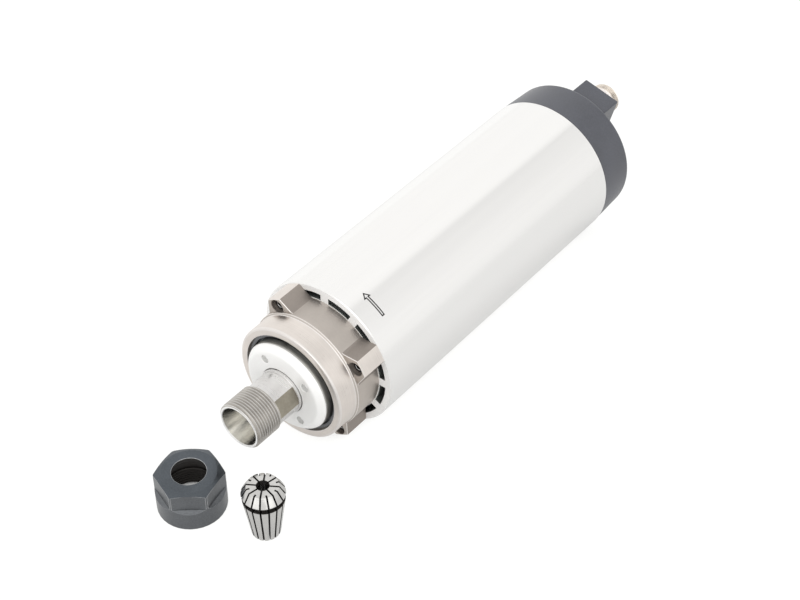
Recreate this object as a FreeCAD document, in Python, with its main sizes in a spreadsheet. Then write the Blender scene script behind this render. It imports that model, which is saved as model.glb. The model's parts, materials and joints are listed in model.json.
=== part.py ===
import FreeCAD, Part
import math
import os

import Sketcher

# An air-cooled motor spindle that lies on a bench, with its clamping nut and
# collet taken off and stood in front of it.
#
# Millimetres and degrees. The spindle's axis is the Y axis and its nose points
# towards -Y. The origin is on the axis, in the plane of the sleeve's front end.
# +Z is up, and the bench is one sleeve radius below the axis. Sizes across the
# spindle build on each other outwards from the shaft and the dust disc, and
# sizes along it follow the length of the sleeve.

DOC = FreeCAD.newDocument("motor_spindle")
SHEET = DOC.addObject("Spreadsheet::Sheet", "size")

DRIVING_SIZES = [
    # The sleeve: a double-walled extrusion with air channels between its ribs
    ("roll_angle", 14, "how far the spindle has rolled on the bench"),
    ("sleeve_length", 185, "sleeve, end to end"),
    ("skin_thickness", 3.6, "outer wall of the sleeve"),
    ("channel_depth", 3.6, "air channel between the two walls"),
    ("tube_wall", 2.8, "wall of the inner tube"),
    ("rib_count", 12, "ribs that join the two walls"),
    ("rib_width", 5, "width of a rib"),
    ("rib_root", 0.4, "how far a rib runs into each wall"),
    ("edge_break", 0.5, "chamfer on turned edges"),
    # The front housing
    ("nose_length", 27.6, "front housing ahead of the sleeve"),
    ("nose_wall", 4.1, "wall of the nose around the cover ring"),
    ("nose_step", 0.9, "height of the step on the nose"),
    ("tube_reveal", 0.3, "rim of the sleeve's tube seen around the nose"),
    ("nose_step_length", 16.2, "from the sleeve to the step"),
    ("nose_round", 1.2, "rounding of the nose's front edge"),
    ("spigot_length", 14, "part of the front housing inside the sleeve"),
    ("spigot_lip_radius", 21, "lip behind the rear one of the front bearings"),
    ("lug_length", 14.3, "length of a fixing lug along the axis"),
    ("lug_inset", 0.6, "from the outside of the sleeve to the top of a lug"),
    ("lug_wall", 0.6, "wall of a lug beside its counterbore"),
    ("lug_slope", 0.53, "how fast a lug widens towards its foot"),
    ("lug_foot_round", 3, "rounding between a lug's sides and the nose"),
    ("lug_count", 4, "lugs, and screws through them"),
    ("lug_screw_inset", 4.3, "from the top of a lug to its screw's axis"),
    ("lug_screw_radius", 2, "shank of an M4 screw"),
    ("lug_screw_grip", 12, "lug screw inside the sleeve"),
    ("screw_head_radius", 3.5, "head of an M4 socket screw"),
    ("screw_head_height", 4, "height of that head"),
    ("socket_radius", 1.7, "hexagon socket, across corners"),
    ("socket_depth", 2.2, "depth of the socket"),
    ("counterbore_gap", 0.2, "clearance of a screw's head in its counterbore"),
    ("counterbore_depth", 6.2, "depth of that counterbore"),
    ("screw_gap", 0.15, "clearance around a screw's shank"),
    ("tap_over", 2, "tapped hole beyond the end of its screw"),
    ("seat_gap", 0.02, "clearance between turned pieces that seat"),
    ("running_gap", 0.06, "clearance of balls in their races"),
    # The front bearing pair, their spacers and the ring that holds them
    ("front_bore", 12.5, "shaft seat of the front bearings, and the nose thread"),
    ("front_outer", 23.5, "outside of the front bearings"),
    ("front_width", 12, "width of one front bearing"),
    ("front_ball_radius", 3.175, "ball of a front bearing"),
    ("front_pitch", 18, "pitch radius of the front balls"),
    ("front_ball_count", 10, "balls in one front bearing"),
    ("front_start", 20, "from the sleeve to the first bearing's face"),
    ("spacer_length", 6, "between the two front bearings"),
    ("race_shoulder", 1.6, "from the pitch circle to a race's shoulder"),
    ("cage_half", 0.9, "half the thickness of a ball cage"),
    ("cage_rim", 0.9, "cage beyond the balls, along the axis"),
    ("cage_gap", 0.12, "clearance of a ball in its cage"),
    ("cover_wall", 1.95, "wall of the threaded cover ring in the nose"),
    ("cover_inset", 1.6, "cover ring behind the nose's front face"),
    ("cover_web", 3, "web of the cover ring, on the outer race"),
    ("cover_web_bore", 20.4, "bore of that web"),
    ("notch_width", 2.6, "spanner notch in the cover ring"),
    ("notch_depth", 1.2, "how far a notch cuts into the ring"),
    ("notch_count", 4, "spanner notches"),
    ("notch_angle", 20, "from the up direction to the first notch"),
    # The dust disc that turns with the shaft
    ("disc_radius", 24.7, "rim of the dust disc"),
    ("disc_rim_slope", 0.5, "width of the slope inside the rim"),
    ("disc_bevel_width", 2.7, "width of the bevel around the flat face"),
    ("disc_bevel_drop", 2.4, "bevel behind the flat face"),
    ("disc_rim_drop", 3.8, "start of the rim behind the flat face"),
    ("disc_front", 33, "flat face ahead of the sleeve"),
    ("disc_rim_wall", 2.8, "thickness of the disc's rim"),
    ("disc_rim_gap", 1, "from the rim to the web of the cover ring"),
    ("disc_web", 5.5, "thickness of the disc's web"),
    ("clamp_step", 0.6, "inner race beyond the hub or shoulder that clamps it"),
    ("disc_gap", 0.85, "clearance of the rim in the cover ring"),
    ("pin_hole_circle", 17.6, "radius of the circle of spanner holes"),
    ("pin_hole_radius", 2.2, "spanner hole"),
    ("pin_hole_depth", 2.4, "straight part of a spanner hole"),
    ("pin_hole_point", 1.1, "drill point below it"),
    ("pin_hole_count", 4, "spanner holes"),
    ("pin_hole_turn", 14, "from the wrench flats to the spanner holes"),
    # The shaft
    ("flat_angle", 22, "from the +X side to a wrench flat"),
    ("shaft_reach", 63.7, "mouth of the shaft ahead of the sleeve"),
    ("thread_length", 16.7, "threaded part of the nose"),
    ("thread_chamfer", 0.9, "lead-in of the thread"),
    ("neck_step", 0.9, "neck below the thread's crests"),
    ("neck_length", 12.5, "length of that neck"),
    ("collar_step", 0.3, "collar below the bearing seat"),
    ("collar_length", 3, "length of the collar"),
    ("flat_depth", 1.1, "wrench flat below the neck"),
    ("mouth_wall", 2, "wall of the nose at the mouth of the collet taper"),
    ("taper_half_angle", 8, "collet taper against the axis"),
    ("taper_length", 24.3, "depth of the taper"),
    ("relief_radius", 6.2, "bore behind the taper"),
    ("relief_length", 14, "length of that bore"),
    ("shoulder_length", 5, "length of the shoulder behind the front bearings"),
    ("core_seat_radius", 11, "shaft inside the rotor"),
    ("tail_radius", 9, "shaft between rotor and rear bearing"),
    ("fan_seat_radius", 5, "shaft inside the fan"),
    # The motor
    ("stator_bore", 17.5, "bore of the stator"),
    ("air_gap", 0.4, "between rotor and stator"),
    ("winding_room", 3, "from the front housing to the front end winding"),
    ("lead_room", 12.2, "room for the wires behind the rear end winding"),
    ("winding_step", 1.5, "end winding outside the stator's bore"),
    ("winding_gap", 1.6, "from an end winding to the sleeve's tube"),
    ("winding_length", 17, "end winding beyond the core"),
    ("winding_round", 3.5, "rounding of an end winding"),
    ("cage_ring_length", 6, "end ring of the rotor cage"),
    ("cage_ring_inner", 12.4, "bore of that end ring"),
    ("cage_fin_count", 8, "fins on an end ring"),
    ("cage_fin_length", 4, "fin along the axis"),
    ("cage_fin_width", 2, "thickness of a fin"),
    ("cage_fin_edge", 0.6, "end ring beside the ends of a fin"),
    # The rear bearing and its housing
    ("rear_bore", 7.5, "shaft seat of the rear bearing"),
    ("rear_outer", 16, "outside of the rear bearing"),
    ("rear_width", 9, "width of the rear bearing"),
    ("rear_ball_radius", 2.38, "ball of the rear bearing"),
    ("rear_pitch", 11.75, "pitch radius of the rear balls"),
    ("rear_ball_count", 8, "balls in the rear bearing"),
    ("rear_inset", 17, "from the rear bearing's face to the sleeve's rear end"),
    ("rear_shoulder", 1.2, "from the rear pitch circle to a shoulder"),
    ("spring_length", 1.8, "preload spring, along the axis"),
    ("spring_wall", 2.6, "width of the spring's ring"),
    ("rear_lip", 3, "lip in front of the preload spring"),
    ("rear_lip_height", 3.5, "height of that lip inside the bearing's seat"),
    ("rear_web", 4, "web of the rear bearing housing"),
    ("rear_hub_wall", 4, "hub of the housing around the rear bearing"),
    ("rear_skirt", 3, "wall of the housing inside the tube"),
    ("clip_thickness", 1, "circlip behind the rear bearing"),
    ("clip_height", 2.1, "circlip above its shaft"),
    ("clip_groove", 0.6, "depth of its groove"),
    ("clip_opening", 5, "gap between its ends"),
    # The fan
    ("fan_inset", 5, "fan behind the sleeve's rear end"),
    ("fan_room", 1.7, "from the fan to the screw bosses"),
    ("fan_hub_radius", 10.5, "hub of the fan"),
    ("fan_hub_length", 11, "length of the hub"),
    ("fan_plate", 1.6, "back plate of the fan"),
    ("fan_blade_count", 9, "blades"),
    ("fan_blade_width", 1.6, "thickness of a blade"),
    ("fan_blade_height", 8.5, "blade above the back plate"),
    ("fan_blade_root", 1.5, "how far a blade runs into the hub"),
    ("fan_blade_edge", 1, "back plate beyond the end of a blade"),
    ("fan_blade_sweep", 12, "how far a blade leans back, in degrees"),
    ("fan_nut_half", 7, "half the wrench size of the fan's nut"),
    ("fan_nut_height", 3.4, "height of that nut"),
    ("fan_stud_rise", 0.6, "shaft beyond the nut"),
    # The rear cap with the terminal box
    ("cap_room", 1, "from the end of the shaft to the cap's end wall"),
    ("cap_inset", 0.2, "from the outside of the sleeve to the cap"),
    ("cap_draft", 1.2, "how much narrower the cap is at its end"),
    ("cap_wall", 2.9, "side wall of the cap"),
    ("cap_end_wall", 2.8, "end wall of the cap"),
    ("cap_round", 2.4, "rounding of the cap's rear edge"),
    ("boss_radius", 3.4, "screw boss in the cap"),
    ("cap_screw_radius", 1.5, "shank of an M3 screw"),
    ("cap_screw_grip", 10, "cap screw inside the sleeve"),
    ("cap_head_radius", 2.75, "head of an M3 socket screw"),
    ("cap_head_height", 3, "height of that head"),
    ("cap_sink", 3.4, "depth of the recess over a cap screw"),
    ("cap_head_gap", 0.25, "clearance of the screw's head in that recess"),
    ("sink_edge", 0.1, "from the recess to the rounding of the rear edge"),
    ("vent_count", 17, "air slots in the end wall"),
    ("vent_clear", 60, "from the middle of the box to the first air slot"),
    ("vent_inner", 15, "inner end of an air slot"),
    ("vent_width", 3.2, "width of an air slot"),
    ("box_half", 11, "half the width of the terminal box"),
    ("box_inset", 5.2, "from the top of the cap to the top of the box"),
    ("box_height", 24.2, "box from top to foot"),
    ("box_rise", 14.9, "box beyond the cap's end"),
    ("box_wall", 2, "wall of the box"),
    ("box_round", 0.8, "rounding of the box's edges"),
    # The panel connector on the box
    ("plug_length", 10, "barrel and flange beyond the box"),
    ("flange_inset", 1.2, "from the flange to the side of the box"),
    ("flange_length", 2.2, "thickness of the flange"),
    ("flange_ledge", 1.3, "flange beyond the threaded barrel"),
    ("plug_neck_step", 1.5, "neck through the box's wall below the barrel"),
    ("plug_neck_wall", 1, "wall of that neck"),
    ("plug_wall", 1.9, "wall of the barrel"),
    ("insert_inset", 7.8, "insert behind the barrel's end"),
    ("insert_length", 3, "length of the insert"),
    ("contact_radius", 0.9, "contact pin"),
    ("contact_edge", 3, "from the barrel's bore to a contact's axis"),
    ("contact_rise", 3.4, "contact above the insert"),
    ("contact_tail", 2.2, "solder end behind the insert"),
    ("contact_count", 4, "contacts"),
    ("key_width", 1.6, "key in the barrel"),
    ("key_depth", 1, "height of the key"),
    ("key_root", 0.5, "how far the key runs into the barrel's wall"),
    ("key_end", 1, "from the key's end to the mouth of the barrel"),
    ("lock_nut_gap", 0.2, "clearance of the nut inside the box"),
    ("lock_nut_stub", 1, "neck beyond that nut"),
    ("lock_nut_length", 2.4, "thickness of that nut"),
    # The clamping nut
    ("nut_x", -11.3, "nut on the bench, sideways"),
    ("nut_y", -87.7, "nut on the bench, ahead of the sleeve"),
    ("nut_turn", 11, "flat of the nut against the +X side"),
    ("nut_height", 22.2, "height of the nut"),
    ("nut_wall", 4.45, "wall of the nut around its thread"),
    ("nut_flat_depth", 2, "wrench flat below the nut's outside"),
    ("nut_flat_height", 10.2, "height of the flats"),
    ("nut_flat_runout", 3.9, "slope below the flats, along the axis"),
    ("nut_top_bevel", 3.6, "bevel around the flat ring on the nut's top"),
    ("nut_top_drop", 1.9, "height of that bevel"),
    ("nut_mouth_gap", 0.6, "hole in the top around the collet's face"),
    ("nut_lip", 0.8, "straight part of that hole"),
    ("nut_cone_angle", 30, "cone that closes the collet"),
    ("nut_cone_gap", 0.5, "wide end of the cone beyond the collet"),
    ("nut_pocket_step", 0.6, "pocket that snaps over the collet"),
    ("nut_pocket_height", 2.6, "height of the pocket"),
    ("nut_thread_gap", 0.05, "clearance of the nut on the thread"),
    ("nut_thread_length", 10.5, "threaded part of the nut"),
    ("nut_relief", 0.5, "depth of the thread relief"),
    # The collet
    ("collet_x", 27.4, "collet on the bench, sideways"),
    ("collet_y", -78.2, "collet on the bench, ahead of the sleeve"),
    ("collet_turn", 33.5, "slot of the collet against the +X side"),
    ("collet_height", 31.5, "height of the collet"),
    ("collet_bore", 3, "bore for the tool's shank"),
    ("collet_cone_width", 2.75, "front cone, from the rim to the front face"),
    ("collet_cone_angle", 30, "front cone against the axis"),
    ("collet_rim", 0.2, "rim below the front cone"),
    ("collet_groove_depth", 1.8, "depth of the groove"),
    ("collet_groove", 3.2, "width of the groove"),
    ("collet_shoulder_step", 0.3, "wide end of the body inside the rim"),
    ("collet_foot_break", 0.4, "chamfer at the small end"),
    ("slot_count", 8, "slots from each end"),
    ("slot_width", 0.75, "width of a slot"),
    ("slot_foot", 5.5, "height at which the front slots stop short of the bore"),
    ("slot_head", 2.6, "depth at which the rear slots stop short of the bore"),
    ("slot_web", 6.2, "radius of the metal that those ends leave"),
]

# Sizes and places that several pieces share, as formulas of the driving sizes.
# Across the spindle: the shaft and its nose thread, then outwards from the disc.
THREAD_RADIUS = "size.front_bore"
NECK_RADIUS = f"({THREAD_RADIUS} - size.neck_step)"
MOUTH_RADIUS = f"({THREAD_RADIUS} - size.mouth_wall)"
DISC_BEVEL_RADIUS = "(size.disc_radius - size.disc_rim_slope)"
DISC_FACE_RADIUS = f"({DISC_BEVEL_RADIUS} - size.disc_bevel_width)"
COVER_BORE = "(size.disc_radius + size.disc_gap)"
COVER_RADIUS = f"({COVER_BORE} + size.cover_wall)"
NOSE_RADIUS = f"({COVER_RADIUS} + size.nose_wall)"
NOSE_STEP_RADIUS = f"({NOSE_RADIUS} + size.nose_step)"
TUBE_RADIUS = f"({NOSE_STEP_RADIUS} + size.tube_reveal)"
TUBE_BORE = f"({TUBE_RADIUS} - size.tube_wall)"
SKIN_BORE = f"({TUBE_RADIUS} + size.channel_depth)"
SLEEVE_RADIUS = f"({SKIN_BORE} + size.skin_thickness)"
BENCH = f"(-{SLEEVE_RADIUS})"
LUG_RADIUS = f"({SLEEVE_RADIUS} - size.lug_inset)"
LUG_SCREW_CIRCLE = f"({LUG_RADIUS} - size.lug_screw_inset)"
COUNTERBORE_RADIUS = "(size.screw_head_radius + size.counterbore_gap)"
LUG_TOP_HALF = f"({COUNTERBORE_RADIUS} + size.lug_wall)"
INNER_RACE = "(size.front_pitch - size.race_shoulder)"
OUTER_RACE = "(size.front_pitch + size.race_shoulder)"
CLAMP_RADIUS = f"({INNER_RACE} - size.clamp_step)"
SEAT = "size.seat_gap"
ROTOR_RADIUS = "(size.stator_bore - size.air_gap)"
CLIP_BOTTOM = "(size.rear_bore - size.clip_groove)"
CLIP_RADIUS = "(size.rear_bore + size.clip_height)"

# The rear cap, and inwards from it to the fan
CAP_RADIUS = f"({SLEEVE_RADIUS} - size.cap_inset)"
CAP_END_RADIUS = f"({CAP_RADIUS} - size.cap_draft)"
CAP_SINK_RADIUS = "(size.cap_head_radius + size.cap_head_gap)"
BOSS_CIRCLE = f"({CAP_END_RADIUS} - size.cap_round - size.sink_edge - {CAP_SINK_RADIUS})"
FAN_RADIUS = f"({BOSS_CIRCLE} - size.boss_radius - size.fan_room)"
VENT_ARC = "(360 - 2 * size.vent_clear)"
BOX_TOP = f"({CAP_RADIUS} - size.box_inset)"
BOX_FOOT = f"({BOX_TOP} - size.box_height)"
PLUG_HEIGHT = f"({BOX_TOP} - size.box_height / 2)"
FLANGE_RADIUS = "(size.box_half - size.flange_inset)"
PLUG_RADIUS = f"({FLANGE_RADIUS} - size.flange_ledge)"
PLUG_NECK = f"({PLUG_RADIUS} - size.plug_neck_step)"
PLUG_BORE = f"({PLUG_RADIUS} - size.plug_wall)"
CONTACT_CIRCLE = f"({PLUG_BORE} - size.contact_edge)"
LOCK_NUT_RADIUS = "(size.box_half - size.box_wall - size.lock_nut_gap)"

# The clamping nut and the collet, which fit the shaft's nose
NUT_BORE = f"({THREAD_RADIUS} + size.nut_thread_gap)"
NUT_RADIUS = f"({NUT_BORE} + size.nut_wall)"
COLLET_RADIUS = MOUTH_RADIUS
COLLET_FACE_RADIUS = f"({COLLET_RADIUS} - size.collet_cone_width)"

# Along the axis, from the front to the rear
NOSE_FACE = "(-size.nose_length)"
DISC_FACE = "(-size.disc_front)"
HEAD_SEAT = "(-size.lug_length + size.counterbore_depth)"
FRONT_A = "(-size.front_start)"
FRONT_A_END = f"({FRONT_A} + size.front_width)"
FRONT_B = f"({FRONT_A_END} + size.spacer_length)"
FRONT_B_END = f"({FRONT_B} + size.front_width)"
STATOR_START = "(size.spigot_length + size.winding_room + size.winding_length)"
REAR_START = "(size.sleeve_length - size.rear_inset)"
REAR_END = f"({REAR_START} + size.rear_width)"
SPRING_START = f"({REAR_START} - size.spring_length)"
REAR_LIP_START = f"({SPRING_START} - size.rear_lip)"
STATOR_END = f"({REAR_LIP_START} - size.lead_room - size.winding_length)"
CLIP_END = f"({REAR_END} + size.clip_thickness)"
FAN_START = "(size.sleeve_length + size.fan_inset)"
FAN_END = f"({FAN_START} + size.fan_hub_length)"
FAN_NUT_END = f"({FAN_END} + size.fan_nut_height)"
SHAFT_END = f"({FAN_NUT_END} + size.fan_stud_rise)"
CAP_INSIDE = f"({SHAFT_END} + size.cap_room)"
CAP_END = f"({CAP_INSIDE} + size.cap_end_wall)"
BOX_END = f"({CAP_END} + size.box_rise)"
BOX_INSIDE = f"({BOX_END} - size.box_wall)"
PLUG_END = f"({BOX_END} + size.plug_length)"
FLANGE_END = f"({BOX_END} + size.flange_length)"
INSERT_FACE = f"({PLUG_END} - size.insert_inset)"
INSERT_START = f"({INSERT_FACE} - size.insert_length)"


def fill_sheet():
    """Write one row for each driving size: its name, its value and what it is."""
    for row, (alias, number, note) in enumerate(DRIVING_SIZES, start=1):
        SHEET.set(f"A{row}", alias)
        SHEET.set(f"B{row}", str(number))
        SHEET.set(f"C{row}", note)
        SHEET.setAlias(f"B{row}", alias)
    DOC.recompute()


def origin_part(body, role):
    """The plane or axis of a body's own origin with this role."""
    return next(f for f in body.Origin.OriginFeatures if f.Role == role)


def new_body(name, axis=None, turn=None):
    """An empty body, turned by a formula of degrees about an axis of the part."""
    body = DOC.addObject("PartDesign::Body", name)
    body.Label = name
    if turn:
        body.Placement = FreeCAD.Placement(
            FreeCAD.Vector(), FreeCAD.Rotation(axis, 1)
        )
        body.setExpression("Placement.Rotation.Angle", turn)
    return body


def housing_body(name):
    """A body of the stationary half, which has rolled so that its box leans."""
    return new_body(name, FreeCAD.Vector(0, 1, 0), "size.roll_angle")


def shaft_body(name):
    """A body of the turning half, with its +X side square to a wrench flat."""
    return new_body(name, FreeCAD.Vector(0, -1, 0), "size.flat_angle")


def bench_body(name, x, y, turn):
    """A body that stands on the bench and is drawn with its foot at the origin."""
    body = new_body(name, FreeCAD.Vector(0, 0, 1), turn)
    body.setExpression("Placement.Base.x", x)
    body.setExpression("Placement.Base.y", y)
    body.setExpression("Placement.Base.z", BENCH)
    return body


def new_sketch(body, role, ahead=None):
    """A sketch on an origin plane, moved along the plane's normal by a formula."""
    sketch = body.newObject("Sketcher::SketchObject", f"{body.Name}_sketch")
    sketch.AttachmentSupport = [(origin_part(body, role), "")]
    sketch.MapMode = "FlatFace"
    if ahead:
        sketch.setExpression("AttachmentOffset.Base.z", ahead)
    return sketch


def fix_point(sketch, geometry, point, x, y):
    """Hold a point of a sketch at two formulas, measured from the origin."""
    for kind, formula in (("DistanceX", x), ("DistanceY", y)):
        index = sketch.addConstraint(
            Sketcher.Constraint(kind, -1, 1, geometry, point, 1.0)
        )
        sketch.setExpression(f"Constraints[{index}]", str(formula))


def draw_outline(sketch, corners):
    """A closed outline of straight lines through corners given as formulas."""
    count = len(corners)
    start = sketch.GeometryCount
    places = [
        FreeCAD.Vector(
            math.cos(2 * math.pi * i / count), math.sin(2 * math.pi * i / count), 0
        )
        for i in range(count)
    ]
    for i in range(count):
        sketch.addGeometry(Part.LineSegment(places[i], places[(i + 1) % count]))
    for i in range(count):
        nxt = start + (i + 1) % count
        sketch.addConstraint(Sketcher.Constraint("Coincident", start + i, 2, nxt, 1))
    for i, (x, y) in enumerate(corners):
        fix_point(sketch, start + i, 1, x, y)


def draw_circle(sketch, x, y, radius):
    """A circle whose centre and radius are formulas."""
    circle = Part.Circle(FreeCAD.Vector(1, 1, 0), FreeCAD.Vector(0, 0, 1), 1)
    index = sketch.addGeometry(circle)
    fix_point(sketch, index, 3, x, y)
    rule = sketch.addConstraint(Sketcher.Constraint("Radius", index, 1.0))
    sketch.setExpression(f"Constraints[{rule}]", str(radius))


def feature(body, kind, sketch, length=None, reverse=False):
    """A pad, pocket, revolution or groove of a sketch, in this body."""
    made = body.newObject(f"PartDesign::{kind}", f"{body.Name}_{kind.lower()}")
    made.Profile = sketch
    if kind in ("Revolution", "Groove"):
        made.ReferenceAxis = (sketch, ["V_Axis"])
        made.Angle = 360
    else:
        made.setExpression("Length", length)
        made.Reversed = reverse
    DOC.recompute()
    return made


def turned(body, corners, plane="XY_Plane"):
    """Turn an outline of (radius, place along the axis) about the axis."""
    sketch = new_sketch(body, plane)
    draw_outline(sketch, corners)
    return feature(body, "Revolution", sketch)


def repeat(body, made, count, axis="Y_Axis", arc=None):
    """Repeat features about an axis, count times round a full turn or an arc."""
    pattern = body.newObject("PartDesign::PolarPattern", f"{body.Name}_pattern")
    pattern.Originals = made
    pattern.Axis = (origin_part(body, axis), [""])
    pattern.Angle = 360
    if arc:
        pattern.setExpression("Angle", arc)
    pattern.setExpression("Occurrences", count)
    body.Tip = pattern
    DOC.recompute()
    return pattern


def round_edges(body, radius, wanted):
    """Round the edges of the body's tip that the test named wanted accepts."""
    tip = body.Tip
    names = [f"Edge{i}" for i, e in enumerate(tip.Shape.Edges, 1) if wanted(e)]
    fillet = body.newObject("PartDesign::Fillet", f"{body.Name}_fillet")
    fillet.Base = (tip, names)
    fillet.setExpression("Radius", radius)
    body.Tip = fillet
    DOC.recompute()
    return fillet


def value(formula):
    """The number that a formula of the driving sizes gives."""
    return float(SHEET.evalExpression(formula))


def ring(name, inner, outer, start, end, make=new_body):
    """A plain turned ring between two radii and two places on the axis."""
    body = make(name)
    turned(body, [(inner, start), (outer, start), (outer, end), (inner, end)])
    return body


def hole(body, x, z, radius, start, depth):
    """A round hole along the spindle's axis, cut from start towards the rear."""
    sketch = new_sketch(body, "XZ_Plane", f"-({start})")
    draw_circle(sketch, x, z, radius)
    return feature(body, "Pocket", sketch, depth)


def drilled_hole(body, circle, radius, start, depth, point, turn):
    """A hole with a drill point, beside the axis and turned about it."""
    sketch = new_sketch(body, "XY_Plane")
    sketch.AttachmentOffset = FreeCAD.Placement(
        FreeCAD.Vector(), FreeCAD.Rotation(FreeCAD.Vector(0, 1, 0), 1)
    )
    sketch.setExpression("AttachmentOffset.Rotation.Angle", turn)
    end = f"{start} + {depth}"
    draw_outline(
        sketch,
        [
            (circle, start),
            (f"{circle} + {radius}", start),
            (f"{circle} + {radius}", end),
            (circle, f"{end} + {point}"),
        ],
    )
    middle = Part.LineSegment(FreeCAD.Vector(1, 2, 0), FreeCAD.Vector(1, 3, 0))
    axis = sketch.addGeometry(middle, True)
    fix_point(sketch, axis, 1, circle, start)
    fix_point(sketch, axis, 2, circle, end)
    made = feature(body, "Groove", sketch)
    made.ReferenceAxis = (sketch, ["Axis0"])
    DOC.recompute()
    return made


def rod(body, x, z, radius, start, length):
    """A round bar along the spindle's axis, from start towards the rear."""
    sketch = new_sketch(body, "XZ_Plane", f"-({start})")
    draw_circle(sketch, x, z, radius)
    return feature(body, "Pad", sketch, length, reverse=True)


def diagonal(radius):
    """Both coordinates of a place on the diagonal between up and sideways."""
    return f"{radius} * cos(45 deg)"


def outer_sleeve():
    """The double-walled extrusion: a skin, an inner tube and the ribs between."""
    body = housing_body("outer_sleeve")
    end = "size.sleeve_length"
    edge = "size.edge_break"
    turned(
        body,
        [
            (SKIN_BORE, "0"),
            (f"{SLEEVE_RADIUS} - {edge}", "0"),
            (SLEEVE_RADIUS, edge),
            (SLEEVE_RADIUS, f"{end} - {edge}"),
            (f"{SLEEVE_RADIUS} - {edge}", end),
            (SKIN_BORE, end),
        ],
    )
    sketch = new_sketch(body, "XZ_Plane")
    half = "size.rib_width / 2"
    low = f"{TUBE_RADIUS} - size.rib_root"
    high = f"{SKIN_BORE} + size.rib_root"
    draw_outline(
        sketch,
        [(f"-{half}", low), (half, low), (half, high), (f"-{half}", high)],
    )
    rib = feature(body, "Pad", sketch, end, reverse=True)
    turn = "180 / size.rib_count"
    sketch.setExpression("AttachmentOffset.Rotation.Angle", turn)
    repeat(body, [rib], "size.rib_count")
    turned(
        body,
        [
            (TUBE_BORE, "0"),
            (TUBE_RADIUS, "0"),
            (TUBE_RADIUS, end),
            (TUBE_BORE, end),
        ],
    )
    at = diagonal(LUG_SCREW_CIRCLE)
    lug_hole = hole(
        body,
        at,
        at,
        "size.lug_screw_radius + size.seat_gap",
        "0",
        "size.lug_screw_grip + size.tap_over",
    )
    repeat(body, [lug_hole], "size.lug_count")
    at = diagonal(BOSS_CIRCLE)
    depth = "size.cap_screw_grip + size.tap_over"
    cap_hole = hole(
        body,
        at,
        at,
        "size.cap_screw_radius + size.seat_gap",
        f"{end} - ({depth})",
        depth,
    )
    repeat(body, [cap_hole], "size.lug_count")
    return body


def front_housing():
    """The cast nose: four lugs, a stepped nose and the front bearings' bore."""
    body = housing_body("front_housing")
    turned(
        body,
        [
            (COVER_RADIUS, "-size.lug_length"),
            (LUG_RADIUS, "-size.lug_length"),
            (LUG_RADIUS, "0"),
            (COVER_RADIUS, "0"),
        ],
    )
    sketch = new_sketch(body, "XZ_Plane")
    # Each gap between two lugs is a kite about the up direction. Its sides are
    # the sloping sides of the lugs, drawn in the frame of a lug and turned.
    far = f"{LUG_RADIUS} * 1.3"
    near = f"({LUG_TOP_HALF} + size.lug_slope * {LUG_RADIUS}) / (1 + size.lug_slope)"
    low = f"({LUG_TOP_HALF} - 0.3 * size.lug_slope * {LUG_RADIUS})"
    draw_outline(sketch, [(near, near), (far, low), (far, far), (low, far)])
    sketch.setExpression("AttachmentOffset.Rotation.Angle", "45")
    gap = feature(body, "Pocket", sketch, "size.lug_length", reverse=True)
    repeat(body, [gap], "size.lug_count")
    turned(
        body,
        [
            (COVER_RADIUS, NOSE_FACE),
            (NOSE_RADIUS, NOSE_FACE),
            (NOSE_RADIUS, "-size.nose_step_length"),
            (NOSE_STEP_RADIUS, "-size.nose_step_length + size.nose_step"),
            (NOSE_STEP_RADIUS, "0"),
            (f"{TUBE_BORE} - {SEAT}", "0"),
            (f"{TUBE_BORE} - {SEAT}", "size.spigot_length"),
            ("size.spigot_lip_radius", "size.spigot_length"),
            ("size.spigot_lip_radius", FRONT_B_END),
            (f"size.front_outer + {SEAT}", FRONT_B_END),
            (f"size.front_outer + {SEAT}", FRONT_A),
            (COVER_RADIUS, FRONT_A),
        ],
    )
    at = diagonal(LUG_SCREW_CIRCLE)
    sink = hole(
        body,
        at,
        at,
        COUNTERBORE_RADIUS,
        "-size.lug_length",
        "size.counterbore_depth",
    )
    through = hole(
        body,
        at,
        at,
        "size.lug_screw_radius + size.screw_gap",
        "-size.lug_length",
        "size.lug_length",
    )
    repeat(body, [sink, through], "size.lug_count")
    foot = value(NOSE_STEP_RADIUS)
    round_edges(body, "size.lug_foot_round", lambda e: is_foot(e, foot))
    edge = value(NOSE_RADIUS)
    face = value(NOSE_FACE)
    round_edges(
        body,
        "size.nose_round",
        lambda e: is_ring(e, edge, face),
    )
    return body


def is_foot(edge, radius):
    """Whether an edge runs along the axis at this distance from it."""
    ends = [vertex.Point for vertex in edge.Vertexes]
    if len(ends) != 2 or abs(ends[0].x - ends[1].x) > 0.01:
        return False
    level = abs(ends[0].z - ends[1].z) < 0.01
    return level and all(abs(math.hypot(p.x, p.z) - radius) < 0.01 for p in ends)


def is_ring(edge, radius, place):
    """Whether an edge is a full circle of this radius at this place on the axis."""
    if not isinstance(edge.Curve, Part.Circle):
        return False
    centre = edge.Curve.Center
    return abs(edge.Curve.Radius - radius) < 0.01 and abs(centre.y - place) < 0.01


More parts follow.
